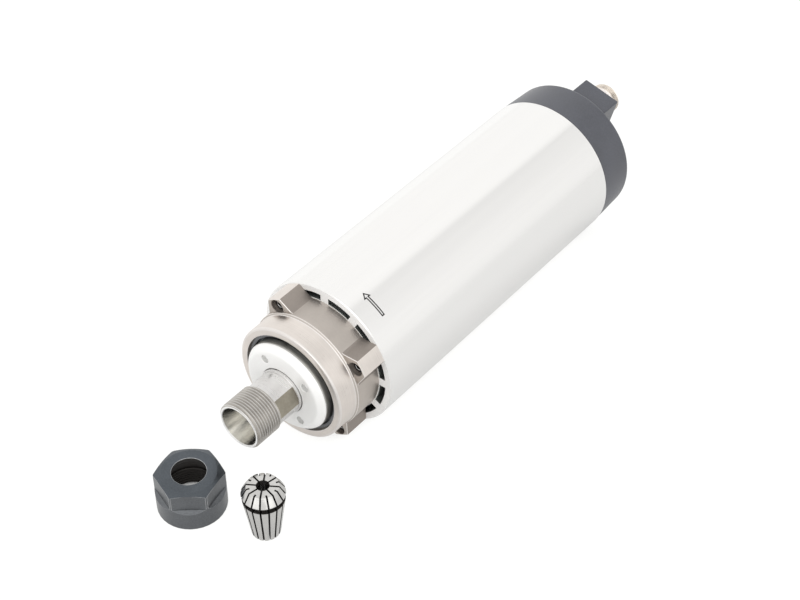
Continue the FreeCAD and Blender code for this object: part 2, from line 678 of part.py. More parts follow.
def socket_screws(name, circle, shank, head, head_height, seat, grip, rear=False):
    """A ring of socket head screws, each on its own axis, heads at the seat.

    The screws enter from the front, or from the rear when rear is true.
    """
    body = housing_body(name)
    sign = "-1" if rear else "1"
    at = diagonal(circle)
    tip = f"({seat}) + {sign} * ({grip})"
    top = f"({seat}) - {sign} * ({head_height})"
    if rear:
        bar = rod(body, at, at, shank, tip, grip)
        cap = rod(body, at, at, head, seat, head_height)
    else:
        cap = rod(body, at, at, head, top, head_height)
        bar = rod(body, at, at, shank, seat, grip)
    sketch = new_sketch(body, "XZ_Plane", f"-({top})")
    corners = [
        (
            f"{at} + size.socket_radius * {head} / size.screw_head_radius * cos({60 * k} deg)",
            f"{at} + size.socket_radius * {head} / size.screw_head_radius * sin({60 * k} deg)",
        )
        for k in range(6)
    ]
    draw_outline(sketch, corners)
    socket = feature(body, "Pocket", sketch, "size.socket_depth", reverse=rear)
    repeat(body, [cap, bar, socket], "size.lug_count")
    return body


def front_bearing_cover():
    """The threaded ring that holds the outer races, with spanner notches."""
    body = housing_body("front_bearing_cover")
    face = f"({NOSE_FACE} + size.cover_inset)"
    turned(
        body,
        [
            (COVER_BORE, face),
            (f"{COVER_RADIUS} - {SEAT}", face),
            (f"{COVER_RADIUS} - {SEAT}", FRONT_A),
            ("size.cover_web_bore", FRONT_A),
            ("size.cover_web_bore", f"{FRONT_A} - size.cover_web"),
            (COVER_BORE, f"{FRONT_A} - size.cover_web"),
        ],
    )
    sketch = new_sketch(body, "XZ_Plane", f"-({face})")
    half = "size.notch_width / 2"
    draw_outline(
        sketch,
        [
            (f"-{half}", f"{COVER_BORE} - size.notch_depth"),
            (half, f"{COVER_BORE} - size.notch_depth"),
            (half, f"{COVER_BORE} + size.notch_depth"),
            (f"-{half}", f"{COVER_BORE} + size.notch_depth"),
        ],
    )
    sketch.setExpression("AttachmentOffset.Rotation.Angle", "size.notch_angle")
    notch = feature(body, "Pocket", sketch, "size.cover_web")
    repeat(body, [notch], "size.notch_count")
    return body


def race_groove(body, pitch, middle, radius):
    """The ball groove of a race, a ring of round section."""
    sketch = new_sketch(body, "XY_Plane")
    draw_circle(sketch, pitch, middle, radius)
    return feature(body, "Groove", sketch)


def ball_bearing(prefix, sizes, start):
    """A ball bearing: its outer race, inner race, cage and ring of balls."""
    bore, outer, width, ball, pitch, count, shoulder = sizes
    middle = f"({start}) + {width} / 2"
    end = f"({start}) + {width}"
    groove = f"{ball} + size.running_gap"
    outside = ring(
        f"{prefix}_outer_race", f"{pitch} + {shoulder}", outer, start, end
    )
    race_groove(outside, pitch, middle, groove)
    inside = ring(f"{prefix}_inner_race", bore, f"{pitch} - {shoulder}", start, end)
    race_groove(inside, pitch, middle, groove)
    cage = new_body(f"{prefix}_cage")
    half = f"({ball} + size.cage_rim)"
    low = f"{pitch} - size.cage_half"
    high = f"{pitch} + size.cage_half"
    turned(
        cage,
        [
            (low, f"{middle} - {half}"),
            (high, f"{middle} - {half}"),
            (high, f"{middle} + {half}"),
            (low, f"{middle} + {half}"),
        ],
    )
    sketch = new_sketch(cage, "YZ_Plane")
    draw_circle(sketch, middle, "0", f"{ball} + size.cage_gap")
    window = feature(cage, "Pocket", sketch, f"{pitch} * 2", reverse=True)
    repeat(cage, [window], count)
    balls = new_body(f"{prefix}_balls")
    one = balls.newObject("PartDesign::AdditiveSphere", f"{prefix}_ball")
    one.AttachmentSupport = [(origin_part(balls, "XY_Plane"), "")]
    one.MapMode = "FlatFace"
    one.setExpression("AttachmentOffset.Base.x", pitch)
    one.setExpression("AttachmentOffset.Base.y", middle)
    one.setExpression("Radius", ball)
    DOC.recompute()
    repeat(balls, [one], count)


def dust_disc():
    """The disc that turns with the shaft and keeps dust out of the bearings."""
    body = shaft_body("dust_disc")
    bore = f"size.front_bore + {SEAT}"
    rim = f"{DISC_FACE} + size.disc_rim_drop"
    rim_end = f"{FRONT_A} - size.cover_web - size.disc_rim_gap"
    turned(
        body,
        [
            (bore, DISC_FACE),
            (DISC_FACE_RADIUS, DISC_FACE),
            (DISC_BEVEL_RADIUS, f"{DISC_FACE} + size.disc_bevel_drop"),
            ("size.disc_radius", rim),
            ("size.disc_radius", rim_end),
            ("size.disc_radius - size.disc_rim_wall", rim_end),
            ("size.disc_radius - size.disc_rim_wall", f"{DISC_FACE} + size.disc_web"),
            (CLAMP_RADIUS, f"{DISC_FACE} + size.disc_web"),
            (CLAMP_RADIUS, FRONT_A),
            (bore, FRONT_A),
        ],
    )
    drilled = drilled_hole(
        body,
        "size.pin_hole_circle",
        "size.pin_hole_radius",
        DISC_FACE,
        "size.pin_hole_depth",
        "size.pin_hole_point",
        "360 / size.pin_hole_count - size.pin_hole_turn",
    )
    repeat(body, [drilled], "size.pin_hole_count")
    return body


def shaft():
    """The shaft: collet taper, nose thread, wrench flats and bearing seats."""
    body = shaft_body("shaft")
    mouth = "-size.shaft_reach"
    thread_end = f"{mouth} + size.thread_length"
    neck_end = f"{thread_end} + size.neck_length"
    collar_end = f"{neck_end} + size.collar_length"
    taper_end = f"{mouth} + size.taper_length"
    narrowing = "size.taper_length * tan(size.taper_half_angle * 1 deg)"
    relief_end = f"{taper_end} + size.relief_length"
    shoulder_end = f"{FRONT_B_END} + size.shoulder_length"
    core_end = f"{STATOR_END} + size.cage_ring_length + size.cage_fin_length"
    turned(
        body,
        [
            (MOUTH_RADIUS, mouth),
            (f"{THREAD_RADIUS} - size.thread_chamfer", mouth),
            (THREAD_RADIUS, f"{mouth} + size.thread_chamfer"),
            (THREAD_RADIUS, thread_end),
            (NECK_RADIUS, thread_end),
            (NECK_RADIUS, neck_end),
            ("size.front_bore - size.collar_step", neck_end),
            ("size.front_bore - size.collar_step", collar_end),
            ("size.front_bore", collar_end),
            ("size.front_bore", FRONT_B_END),
            (CLAMP_RADIUS, FRONT_B_END),
            (CLAMP_RADIUS, shoulder_end),
            ("size.core_seat_radius", shoulder_end),
            ("size.core_seat_radius", core_end),
            ("size.tail_radius", core_end),
            ("size.tail_radius", REAR_START),
            ("size.rear_bore", REAR_START),
            ("size.rear_bore", REAR_END),
            (CLIP_BOTTOM, REAR_END),
            (CLIP_BOTTOM, CLIP_END),
            ("size.rear_bore", CLIP_END),
            ("size.rear_bore", FAN_START),
            ("size.fan_seat_radius", FAN_START),
            ("size.fan_seat_radius", SHAFT_END),
            ("0", SHAFT_END),
            ("0", relief_end),
            ("size.relief_radius", relief_end),
            ("size.relief_radius", taper_end),
            (f"{MOUTH_RADIUS} - {narrowing}", taper_end),
        ],
    )
    sketch = new_sketch(body, "XZ_Plane", f"-({thread_end})")
    far = f"{THREAD_RADIUS} * 1.2"
    rectangle(sketch, f"{NECK_RADIUS} - size.flat_depth", far, f"-{far}", far)
    flat = feature(body, "Pocket", sketch, "size.neck_length")
    repeat(body, [flat], "2")
    return body


def stator():
    """The stator core in the sleeve's tube, and its two end windings."""
    ring(
        "stator_core",
        "size.stator_bore",
        f"{TUBE_BORE} - {SEAT}",
        STATOR_START,
        STATOR_END,
    )
    inside = "size.stator_bore + size.winding_step"
    outside = f"{TUBE_BORE} - size.winding_gap"
    front = f"{STATOR_START} - size.winding_length"
    rear = f"{STATOR_END} + size.winding_length"
    for name, start, end, free in (
        ("front_end_winding", front, STATOR_START, front),
        ("rear_end_winding", STATOR_END, rear, rear),
    ):
        body = ring(name, inside, outside, start, end)
        free_end = value(free)
        radii = (value(inside), value(outside))
        round_edges(
            body,
            "size.winding_round",
            lambda e: any(is_ring(e, radius, free_end) for radius in radii),
        )


def rotor():
    """The rotor core on the shaft and the cast end rings with their fins."""
    bore = f"size.core_seat_radius + {SEAT}"
    ring("rotor_core", bore, ROTOR_RADIUS, STATOR_START, STATOR_END)
    half = "size.cage_fin_width / 2"
    for name, start, end, fin_start in (
        (
            "front_cage_ring",
            f"{STATOR_START} - size.cage_ring_length",
            STATOR_START,
            f"{STATOR_START} - size.cage_ring_length - size.cage_fin_length",
        ),
        (
            "rear_cage_ring",
            STATOR_END,
            f"{STATOR_END} + size.cage_ring_length",
            f"{STATOR_END} + size.cage_ring_length",
        ),
    ):
        body = ring(name, "size.cage_ring_inner", ROTOR_RADIUS, start, end)
        sketch = new_sketch(body, "XZ_Plane", f"-({fin_start})")
        low = "size.cage_ring_inner + size.cage_fin_edge"
        high = f"{ROTOR_RADIUS} - size.cage_fin_edge"
        draw_outline(
            sketch,
            [(f"-{half}", low), (half, low), (half, high), (f"-{half}", high)],
        )
        fin = feature(body, "Pad", sketch, "size.cage_fin_length", reverse=True)
        repeat(body, [fin], "size.cage_fin_count")


def rear_bearing_housing():
    """The cup that closes the inner tube and carries the rear bearing."""
    body = housing_body("rear_bearing_housing")
    end = "size.sleeve_length"
    skirt = f"{TUBE_BORE} - {SEAT}"
    web_end = f"{REAR_LIP_START} + size.rear_web"
    lip_bore = "size.rear_outer - size.rear_lip_height"
    hub = "size.rear_outer + size.rear_hub_wall"
    turned(
        body,
        [
            (lip_bore, REAR_LIP_START),
            (skirt, REAR_LIP_START),
            (skirt, end),
            (f"{skirt} - size.rear_skirt", end),
            (f"{skirt} - size.rear_skirt", web_end),
            (hub, web_end),
            (hub, REAR_END),
            (f"size.rear_outer + {SEAT}", REAR_END),
            (f"size.rear_outer + {SEAT}", SPRING_START),
            (lip_bore, SPRING_START),
        ],
    )
    return body


def preload_spring():
    """The wave spring that pushes the rear outer race, as its closed ring."""
    ring(
        "preload_spring",
        "size.rear_outer - size.spring_wall",
        "size.rear_outer",
        SPRING_START,
        REAR_START,
    )


def rear_circlip():
    """The circlip in its groove behind the rear bearing."""
    body = ring(
        "rear_circlip",
        CLIP_BOTTOM,
        CLIP_RADIUS,
        REAR_END,
        CLIP_END,
        make=shaft_body,
    )
    sketch = new_sketch(body, "XZ_Plane", f"-({REAR_END})")
    half = "size.clip_opening / 2"
    rectangle(sketch, f"-{half}", half, "0", f"{CLIP_RADIUS} * 1.2")
    feature(body, "Pocket", sketch, "size.clip_thickness")


def fan():
    """The fan: a hub, a back plate and straight blades that lean back."""
    body = shaft_body("fan")
    bore = f"size.fan_seat_radius + {SEAT}"
    plate_end = f"{FAN_START} + size.fan_plate"
    turned(
        body,
        [
            (bore, FAN_START),
            (FAN_RADIUS, FAN_START),
            (FAN_RADIUS, plate_end),
            ("size.fan_hub_radius", plate_end),
            ("size.fan_hub_radius", FAN_END),
            (bore, FAN_END),
        ],
    )
    sketch = new_sketch(body, "XZ_Plane", f"-({plate_end})")
    half = "size.fan_blade_width / 2"
    lean = f"{FAN_RADIUS} * sin(size.fan_blade_sweep * 1 deg)"
    foot = "size.fan_hub_radius - size.fan_blade_root"
    reach = f"{FAN_RADIUS} * cos(size.fan_blade_sweep * 1 deg)"
    tip = f"{reach} - size.fan_blade_edge"
    draw_outline(
        sketch,
        [
            (f"-{half}", foot),
            (half, foot),
            (f"{lean} + {half}", tip),
            (f"{lean} - {half}", tip),
        ],
    )
    blade = feature(body, "Pad", sketch, "size.fan_blade_height", reverse=True)
    repeat(body, [blade], "size.fan_blade_count")
    return body


def hexagon(sketch, half):
    """A hexagon about the axis, half the wrench size from it to each side."""
    reach = f"{half} / cos(30 deg)"
    draw_outline(
        sketch,
        [
            (f"{reach} * cos({60 * k} deg)", f"{reach} * sin({60 * k} deg)")
            for k in range(6)
        ],
    )


def fan_nut():
    """The nut that holds the fan on the shaft."""
    body = shaft_body("fan_nut")
    sketch = new_sketch(body, "XZ_Plane", f"-({FAN_END})")
    hexagon(sketch, "size.fan_nut_half")
    draw_circle(sketch, "0", "0", f"size.fan_seat_radius + {SEAT}")
    feature(body, "Pad", sketch, "size.fan_nut_height", reverse=True)


def rectangle(sketch, left, right, low, high):
    """A rectangle whose sides are formulas."""
    draw_outline(sketch, [(left, low), (right, low), (right, high), (left, high)])


def rear_cap():
    """The moulded cap over the fan, with air slots and the terminal box."""
    body = housing_body("rear_cap")
    start = "size.sleeve_length"
    turned(
        body,
        [
            (f"{CAP_RADIUS} - size.cap_wall", start),
            (CAP_RADIUS, start),
            (CAP_END_RADIUS, CAP_END),
            ("0", CAP_END),
            ("0", CAP_INSIDE),
            (f"{CAP_END_RADIUS} - size.cap_wall", CAP_INSIDE),
        ],
    )
    rim = value(CAP_END_RADIUS)
    rear = value(CAP_END)
    round_edges(body, "size.cap_round", lambda e: is_ring(e, rim, rear))
    at = diagonal(BOSS_CIRCLE)
    boss = rod(body, at, at, "size.boss_radius", start, f"{CAP_INSIDE} - ({start})")
    repeat(body, [boss], "size.lug_count")
    bore = hole(
        body,
        at,
        at,
        "size.cap_screw_radius + size.screw_gap",
        start,
        f"{CAP_END} - ({start})",
    )
    sink = hole(
        body, at, at, CAP_SINK_RADIUS, f"{CAP_END} - size.cap_sink", "size.cap_sink"
    )
    repeat(body, [bore, sink], "size.lug_count")
    sketch = new_sketch(body, "XZ_Plane", f"-({CAP_INSIDE})")
    half = "size.vent_width / 2"
    rectangle(sketch, f"-{half}", half, f"-{FAN_RADIUS}", "-size.vent_inner")
    sketch.setExpression("AttachmentOffset.Rotation.Angle", f"{VENT_ARC} / 2")
    vent = feature(body, "Pocket", sketch, "size.cap_end_wall")
    repeat(body, [vent], "size.vent_count", arc=VENT_ARC)
    sketch = new_sketch(body, "XZ_Plane", f"-({CAP_INSIDE})")
    rectangle(sketch, "-size.box_half", "size.box_half", BOX_FOOT, BOX_TOP)
    feature(body, "Pad", sketch, f"{BOX_END} - ({CAP_INSIDE})", reverse=True)
    half = value("size.box_half")
    tall = (value(BOX_FOOT), value(BOX_TOP))
    back = value(BOX_END)
    round_edges(
        body,
        "size.box_round",
        lambda e: is_box_edge(e, half, tall, back),
    )
    sketch = new_sketch(body, "XZ_Plane", f"-({CAP_INSIDE})")
    wall = "size.box_wall"
    rectangle(
        sketch,
        f"-size.box_half + {wall}",
        f"size.box_half - {wall}",
        f"{BOX_FOOT} + {wall}",
        f"{BOX_TOP} - {wall}",
    )
    feature(body, "Pocket", sketch, f"{BOX_INSIDE} - ({CAP_INSIDE})")
    hole(
        body,
        "0",
        PLUG_HEIGHT,
        f"{PLUG_NECK} + {SEAT}",
        BOX_INSIDE,
        "size.box_wall",
    )
    return body


def is_box_edge(edge, half, tall, back):
    """Whether an edge runs along a corner of the terminal box or round its end."""
    if not isinstance(edge.Curve, Part.Line):
        return False
    first, last = (v.Point for v in edge.Vertexes)
    corner = all(
        abs(abs(p.x) - half) < 0.01 and min(abs(p.z - z) for z in tall) < 0.01
        for p in (first, last)
    )
    return corner and max(first.y, last.y) > back - 0.01


def connector():
    """The panel connector: shell, insert, contacts and the nut in the box."""
    shell = housing_body("connector_shell")
    neck_start = f"{BOX_INSIDE} - size.lock_nut_length - size.lock_nut_stub"
    for radius, start, end in (
        (PLUG_NECK, neck_start, FLANGE_END),
        (FLANGE_RADIUS, BOX_END, FLANGE_END),
        (PLUG_RADIUS, FLANGE_END, PLUG_END),
    ):
        rod(shell, "0", PLUG_HEIGHT, radius, start, f"{end} - ({start})")
    for radius, start in (
        (f"{PLUG_NECK} - size.plug_neck_wall", neck_start),
        (PLUG_BORE, INSERT_START),
    ):
        hole(shell, "0", PLUG_HEIGHT, radius, start, f"{PLUG_END} - ({start})")
    sketch = new_sketch(shell, "XZ_Plane", f"-({INSERT_FACE})")
    half = "size.key_width / 2"
    top = f"{PLUG_HEIGHT} + {PLUG_BORE}"
    rectangle(
        sketch, f"-{half}", half, f"{top} - size.key_depth", f"{top} + size.key_root"
    )
    feature(shell, "Pad", sketch, "size.insert_inset - size.key_end", reverse=True)
    insert = housing_body("connector_insert")
    rod(
        insert,
        "0",
        PLUG_HEIGHT,
        f"{PLUG_BORE} - {SEAT}",
        INSERT_START,
        "size.insert_length",
    )
    for k in range(int(value("size.contact_count"))):
        x, z = contact_place(k)
        hole(
            insert,
            x,
            z,
            f"size.contact_radius + {SEAT}",
            INSERT_START,
            "size.insert_length",
        )
    pins = housing_body("connector_contacts")
    for k in range(int(value("size.contact_count"))):
        x, z = contact_place(k)
        rod(
            pins,
            x,
            z,
            "size.contact_radius",
            f"{INSERT_START} - size.contact_tail",
            "size.contact_tail + size.insert_length + size.contact_rise",
        )
    nut = housing_body("connector_lock_nut")
    sketch = new_sketch(nut, "XZ_Plane", f"-({BOX_INSIDE} - size.lock_nut_length)")
    draw_circle(sketch, "0", PLUG_HEIGHT, LOCK_NUT_RADIUS)
    draw_circle(sketch, "0", PLUG_HEIGHT, f"{PLUG_NECK} + {SEAT}")
    feature(nut, "Pad", sketch, "size.lock_nut_length", reverse=True)


def contact_place(k):
    """Where contact number k stands around the connector's axis."""
    angle = f"(45 + {k} * 360 / size.contact_count) * 1 deg"
    x = f"{CONTACT_CIRCLE} * cos({angle})"
    z = f"{PLUG_HEIGHT} + {CONTACT_CIRCLE} * sin({angle})"
    return x, z


def collet_nut():
    """The clamping nut, standing on its open end with its small hole up."""
    body = bench_body("collet_nut", "size.nut_x", "size.nut_y", "size.nut_turn")
    top = "size.nut_height"
    mouth = f"{COLLET_FACE_RADIUS} + size.nut_mouth_gap"
    wide = f"({COLLET_RADIUS} + size.nut_cone_gap)"
    lip = f"{top} - size.nut_lip"
    cone = f"{lip} - ({wide} - ({mouth})) / tan(size.nut_cone_angle * 1 deg)"
    pocket = f"{cone} - size.nut_pocket_height"
    relief = f"{NUT_BORE} + size.nut_relief"
    turned(
        body,
        [
            (NUT_BORE, "size.edge_break"),
            (f"{NUT_BORE} + size.edge_break", "0"),
            (f"{NUT_RADIUS} - size.edge_break", "0"),
            (NUT_RADIUS, "size.edge_break"),
            (NUT_RADIUS, f"{top} - size.nut_top_drop"),
            (f"{NUT_RADIUS} - size.nut_top_bevel", top),
            (mouth, top),
            (mouth, lip),
            (wide, cone),
            (f"{wide} + size.nut_pocket_step", cone),
            (f"{wide} + size.nut_pocket_step", pocket),
            (relief, pocket),
            (relief, "size.nut_thread_length"),
            (NUT_BORE, "size.nut_thread_length"),
        ],
        plane="XZ_Plane",
    )
    sketch = new_sketch(body, "XZ_Plane", NUT_RADIUS)
    foot = f"{top} - size.nut_flat_height"
    near = f"{NUT_RADIUS} - size.nut_flat_depth"
    far = f"{NUT_RADIUS} * 1.2"
    above = f"{top} * 1.1"
    outline = [
        (near, foot),
        (far, f"{foot} - size.nut_flat_runout"),
        (far, above),
        (near, above),
    ]
    draw_outline(sketch, outline)
    flat = feature(body, "Pocket", sketch, f"{NUT_RADIUS} * 2")
    repeat(body, [flat], "6", axis="Z_Axis")
    return body


def collet():
    """The collet, standing on its small end: two cones, a groove and slots."""
    body = bench_body("collet", "size.collet_x", "size.collet_y", "size.collet_turn")
    top = "size.collet_height"
    slope = "tan(size.collet_cone_angle * 1 deg)"
    rim = f"{top} - size.collet_cone_width / {slope}"
    groove = f"{rim} - size.collet_rim"
    shoulder = f"{groove} - size.collet_groove"
    bottom = f"{COLLET_RADIUS} - size.collet_groove_depth"
    wide = f"{COLLET_RADIUS} - size.collet_shoulder_step"
    foot = f"{wide} - ({shoulder}) * tan(size.taper_half_angle * 1 deg)"
    edge = "size.collet_foot_break"
    turned(
        body,
        [
            ("size.collet_bore", "0"),
            (f"{foot} - {edge}", "0"),
            (f"{foot} + {edge} * tan(size.taper_half_angle * 1 deg)", edge),
            (wide, shoulder),
            (bottom, shoulder),
            (bottom, groove),
            (COLLET_RADIUS, groove),
            (COLLET_RADIUS, rim),
            (COLLET_FACE_RADIUS, top),
            ("size.collet_bore", top),
        ],
        plane="XZ_Plane",
    )
    half = "size.slot_width / 2"
    reach = f"{COLLET_RADIUS} * 1.1"
    sketch = new_sketch(body, "XY_Plane", "size.slot_foot")
    rectangle(sketch, "0", reach, f"-{half}", half)
    front = feature(body, "Pocket", sketch, top, reverse=True)
    repeat(body, [front], "size.slot_count", axis="Z_Axis")
    sketch = new_sketch(body, "XY_Plane", f"{top} - size.slot_head")
    rectangle(sketch, "0", reach, f"-{half}", half)
    sketch.setExpression(
        "AttachmentOffset.Rotation.Angle", "180 / size.slot_count"
    )
    rear = feature(body, "Pocket", sketch, top)
    repeat(body, [rear], "size.slot_count", axis="Z_Axis")
    # Every slot is seen from end to end, but at one end it is only this deep.
    sketch = new_sketch(body, "XY_Plane")
    rectangle(sketch, "size.slot_web", reach, f"-{half}", half)
    kerf = feature(body, "Pocket", sketch, top, reverse=True)
    repeat(body, [kerf], "size.slot_count * 2", axis="Z_Axis")
    return body


def build():
    """Make every piece."""
    fill_sheet()
    outer_sleeve()
    front_housing()
    socket_screws(
        "lug_screws",
        LUG_SCREW_CIRCLE,
        "size.lug_screw_radius",
        "size.screw_head_radius",
        "size.screw_head_height",
        HEAD_SEAT,
        f"size.lug_screw_grip - ({HEAD_SEAT})",
    )
    front_bearing_cover()
    front = (
        "size.front_bore",
        "size.front_outer",
        "size.front_width",
        "size.front_ball_radius",
        "size.front_pitch",
        "size.front_ball_count",
        "size.race_shoulder",
    )
    ball_bearing("front_bearing", front, FRONT_A)
    ball_bearing("second_bearing", front, FRONT_B)
    ring("outer_spacer", OUTER_RACE, "size.front_outer", FRONT_A_END, FRONT_B)
    ring("inner_spacer", "size.front_bore", INNER_RACE, FRONT_A_END, FRONT_B)
    dust_disc()
    shaft()
    stator()
    rotor()
    rear = (
        "size.rear_bore",
        "size.rear_outer",
        "size.rear_width",
        "size.rear_ball_radius",
        "size.rear_pitch",
        "size.rear_ball_count",
        "size.rear_shoulder",
    )
    ball_bearing("rear_bearing", rear, REAR_START)
    rear_bearing_housing()
    preload_spring()
    rear_circlip()
    fan()
    fan_nut()
    rear_cap()
    cap_seat = f"{CAP_END} - size.cap_sink"
    socket_screws(
        "cap_screws",
        BOSS_CIRCLE,
        "size.cap_screw_radius",
        "size.cap_head_radius",
        "size.cap_head_height",
        cap_seat,
        f"({cap_seat}) - size.sleeve_length + size.cap_screw_grip",
        rear=True,
    )
    connector()
    collet_nut()
    collet()
    DOC.recompute()


def export():
    """Check every object, then write each piece to its own file."""
    for item in DOC.Objects:
        bad = [s for s in item.State if s in ("Invalid", "Error")]
        if bad:
            raise RuntimeError(f"{item.Label} is {bad}")
    pieces = [b for b in DOC.Objects if b.TypeId == "PartDesign::Body"]
    for piece in pieces:
        if piece.Shape.isNull() or not piece.Shape.isValid():
            raise RuntimeError(f"{piece.Label} has no valid shape")
    os.makedirs("parts", exist_ok=True)
    for piece in pieces:
        piece.Shape.exportStep(f"parts/{piece.Label}.step")
        solids = len(piece.Shape.Solids)
        print(f"{piece.Label}: {solids} solid(s), {piece.Shape.Volume:.1f} mm3")


build()
export()
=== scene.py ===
# %% [markdown]
# # A motor spindle, its clamping nut and its collet
#
# The object is a round, air-cooled motor spindle that lies on a white table. Its
# hexagon nut and its slotted collet are taken off and stand in front of it. The
# solids come from the frame, in metres: the spindle's axis is Y, its nose points
# towards -Y, Z is up, and the origin is on the axis at the sleeve's front end.
# Pieces whose finish needs finer edges than the solids have are made here in mesh
# code, from sizes that are read off the solids. The others keep their solid and
# get a better material.

import json
import math

import bmesh
import bpy
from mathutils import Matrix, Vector


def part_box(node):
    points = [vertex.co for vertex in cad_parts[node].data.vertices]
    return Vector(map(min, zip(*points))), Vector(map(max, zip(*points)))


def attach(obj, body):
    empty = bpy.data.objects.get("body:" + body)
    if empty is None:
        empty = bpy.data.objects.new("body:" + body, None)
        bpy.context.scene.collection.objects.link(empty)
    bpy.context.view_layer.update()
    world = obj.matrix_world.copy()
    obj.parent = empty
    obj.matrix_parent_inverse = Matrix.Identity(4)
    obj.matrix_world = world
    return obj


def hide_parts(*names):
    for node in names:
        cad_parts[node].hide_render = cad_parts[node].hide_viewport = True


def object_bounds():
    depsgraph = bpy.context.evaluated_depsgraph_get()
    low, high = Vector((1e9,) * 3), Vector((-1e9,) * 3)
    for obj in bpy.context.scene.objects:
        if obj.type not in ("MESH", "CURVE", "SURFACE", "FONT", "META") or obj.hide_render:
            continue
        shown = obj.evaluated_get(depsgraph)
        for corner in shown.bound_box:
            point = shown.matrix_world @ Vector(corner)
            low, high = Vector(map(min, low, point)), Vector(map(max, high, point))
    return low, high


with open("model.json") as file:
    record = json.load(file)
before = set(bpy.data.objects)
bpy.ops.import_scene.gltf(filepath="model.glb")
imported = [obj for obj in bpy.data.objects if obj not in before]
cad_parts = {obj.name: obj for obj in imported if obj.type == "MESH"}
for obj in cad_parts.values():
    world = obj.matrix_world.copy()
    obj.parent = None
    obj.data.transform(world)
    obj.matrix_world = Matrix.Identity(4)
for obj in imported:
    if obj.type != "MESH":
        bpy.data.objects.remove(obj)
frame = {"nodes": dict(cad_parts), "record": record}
solid_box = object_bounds()
MM = 0.001
print("nodes", len(frame["nodes"]))

# %% [markdown]
# ## The camera
#
# The photo is taken from the right of the nose, from above. The camera stands at
# a place that was worked out from the round ends of the sleeve, the nut and the
# collet, and looks along a direction given by its azimuth and elevation. A long
# lens keeps the sleeve's sides nearly parallel, as they are in the photo.

# %% Camera
CAMERA_PLACE = Vector((0.395398, -0.438165, 0.584294))
CAMERA_AZIMUTH = math.radians(38.622)
CAMERA_ELEVATION = math.radians(43.012)
CAMERA_LENS = 76.50


def in_scene(name, data):
    """A new object in the scene, which holds a camera, a lamp or a mesh."""
    made = bpy.data.objects.new(name, data)
    bpy.context.scene.collection.objects.link(made)
    return made


camera_data = bpy.data.cameras.new("photo_camera")
camera_data.lens = CAMERA_LENS
camera_data.sensor_width = 36
camera_data.clip_start = 0.05
camera = in_scene("photo_camera", camera_data)
level_part = math.cos(CAMERA_ELEVATION)
look = Vector((
    -math.sin(CAMERA_AZIMUTH) * level_part,
    math.cos(CAMERA_AZIMUTH) * level_part,
    -math.sin(CAMERA_ELEVATION),
))
camera.location = CAMERA_PLACE
camera.rotation_euler = look.to_track_quat("-Z", "Y").to_euler()
bpy.context.scene.camera = camera
print("camera looks along", [round(v, 3) for v in look])

# %% [markdown]
# ## Small helpers for node trees
#
# Every material below is a small graph of nodes. Such a graph can be drawn by hand
# in the shader editor, or built line by line with a link for every wire. Here a
# few helpers stand for what comes back again and again: one adds a node and fills
# its inputs, one does a sum, one stretches a range and one blends two values. A
# material then reads like a formula.

# %% Helpers for nodes
MIX_SOCKETS = {"FLOAT": (2, 3, 0), "RGBA": (6, 7, 2)}


def empty_tree(owner):
    """The node tree of a material or a world, with nothing in it yet."""
    owner.use_nodes = True
    owner.node_tree.nodes.clear()
    return owner.node_tree


def give(tree, socket, given):
    """Link a socket to a node's input, or set the input to a plain value."""
    if isinstance(given, bpy.types.NodeSocket):
        tree.links.new(given, socket)
    else:
        socket.default_value = given


def add(tree, kind, inputs=None, **settings):
    """A new node of a tree, with its settings and the values of its inputs."""
    node = tree.nodes.new(kind)
    for name, setting in settings.items():
        setattr(node, name, setting)
    for name, given in (inputs or {}).items():
        give(tree, node.inputs[name], given)
    return node


def maths(tree, operation, *values):
    """The result of one operation on numbers or sockets."""
    node = add(tree, "ShaderNodeMath", operation=operation)
    for socket, given in zip(node.inputs, values):
        give(tree, socket, given)
    return node.outputs[0]


def remap(tree, given, low, high, to_low=0.0, to_high=1.0, smooth=False):
    """A socket's range low..high stretched to another range, and clamped to it."""
    node = add(tree, "ShaderNodeMapRange", {
        "Value": given, "From Min": low, "From Max": high,
        "To Min": to_low, "To Max": to_high,
    }, interpolation_type="SMOOTHSTEP" if smooth else "LINEAR")
    return node.outputs[0]


def blend(tree, kind, share, first, second):
    """A number or a colour between two others, by a share."""
    mix = add(tree, "ShaderNodeMix", data_type=kind)
    low, high, result = MIX_SOCKETS[kind]
    for socket, given in ((0, share), (low, first), (high, second)):
        give(tree, mix.inputs[socket], given)
    return mix.outputs[result]


def end_with_mix(tree, output, share, first, second):
    """End a tree with a mix of the shaders of two nodes, by a share."""
    mix = add(tree, "ShaderNodeMixShader", {
        0: share, 1: first.outputs[0], 2: second.outputs[0],
    })
    tree.links.new(mix.outputs[0], tree.nodes.new(output).inputs["Surface"])


def new_group(name, kind, inputs, outputs):
    """An empty node group with named sockets, each given as (name, kind, default)."""
    group = bpy.data.node_groups.new(name, kind)
    for socket_name, socket_kind, default in inputs:
        socket = group.interface.new_socket(
            socket_name, in_out="INPUT", socket_type=socket_kind
        )
        if default is not None:
            socket.default_value = default
    for socket_name, socket_kind in outputs:
        group.interface.new_socket(socket_name, in_out="OUTPUT", socket_type=socket_kind)
    return group, group.nodes.new("NodeGroupInput"), group.nodes.new("NodeGroupOutput")


print("helpers for trees of nodes are ready")

# %% [markdown]
# ## Shared surface effects
#
# Three effects turn up on several pieces. *Turned rings* are the fine grooves
# that a lathe leaves: they follow the distance from the axis and the place along
# it, so one pattern draws circles on a face and hoops on a barrel. *Drawn
# streaks* run along an extrusion. *Grain* is the fine skin of a casting or a
# moulding, with larger soft patches. Each group takes coordinates whose Z is the
# axis of the piece.
#
# Painted or photographed textures could show the same, but they need a picture
# and a way to wrap it round. Plain noise that is read in a stretched space is
# cheap, needs neither, and never repeats. Each effect is a node group: like a
# function it is built once, and every material places it with its own values.

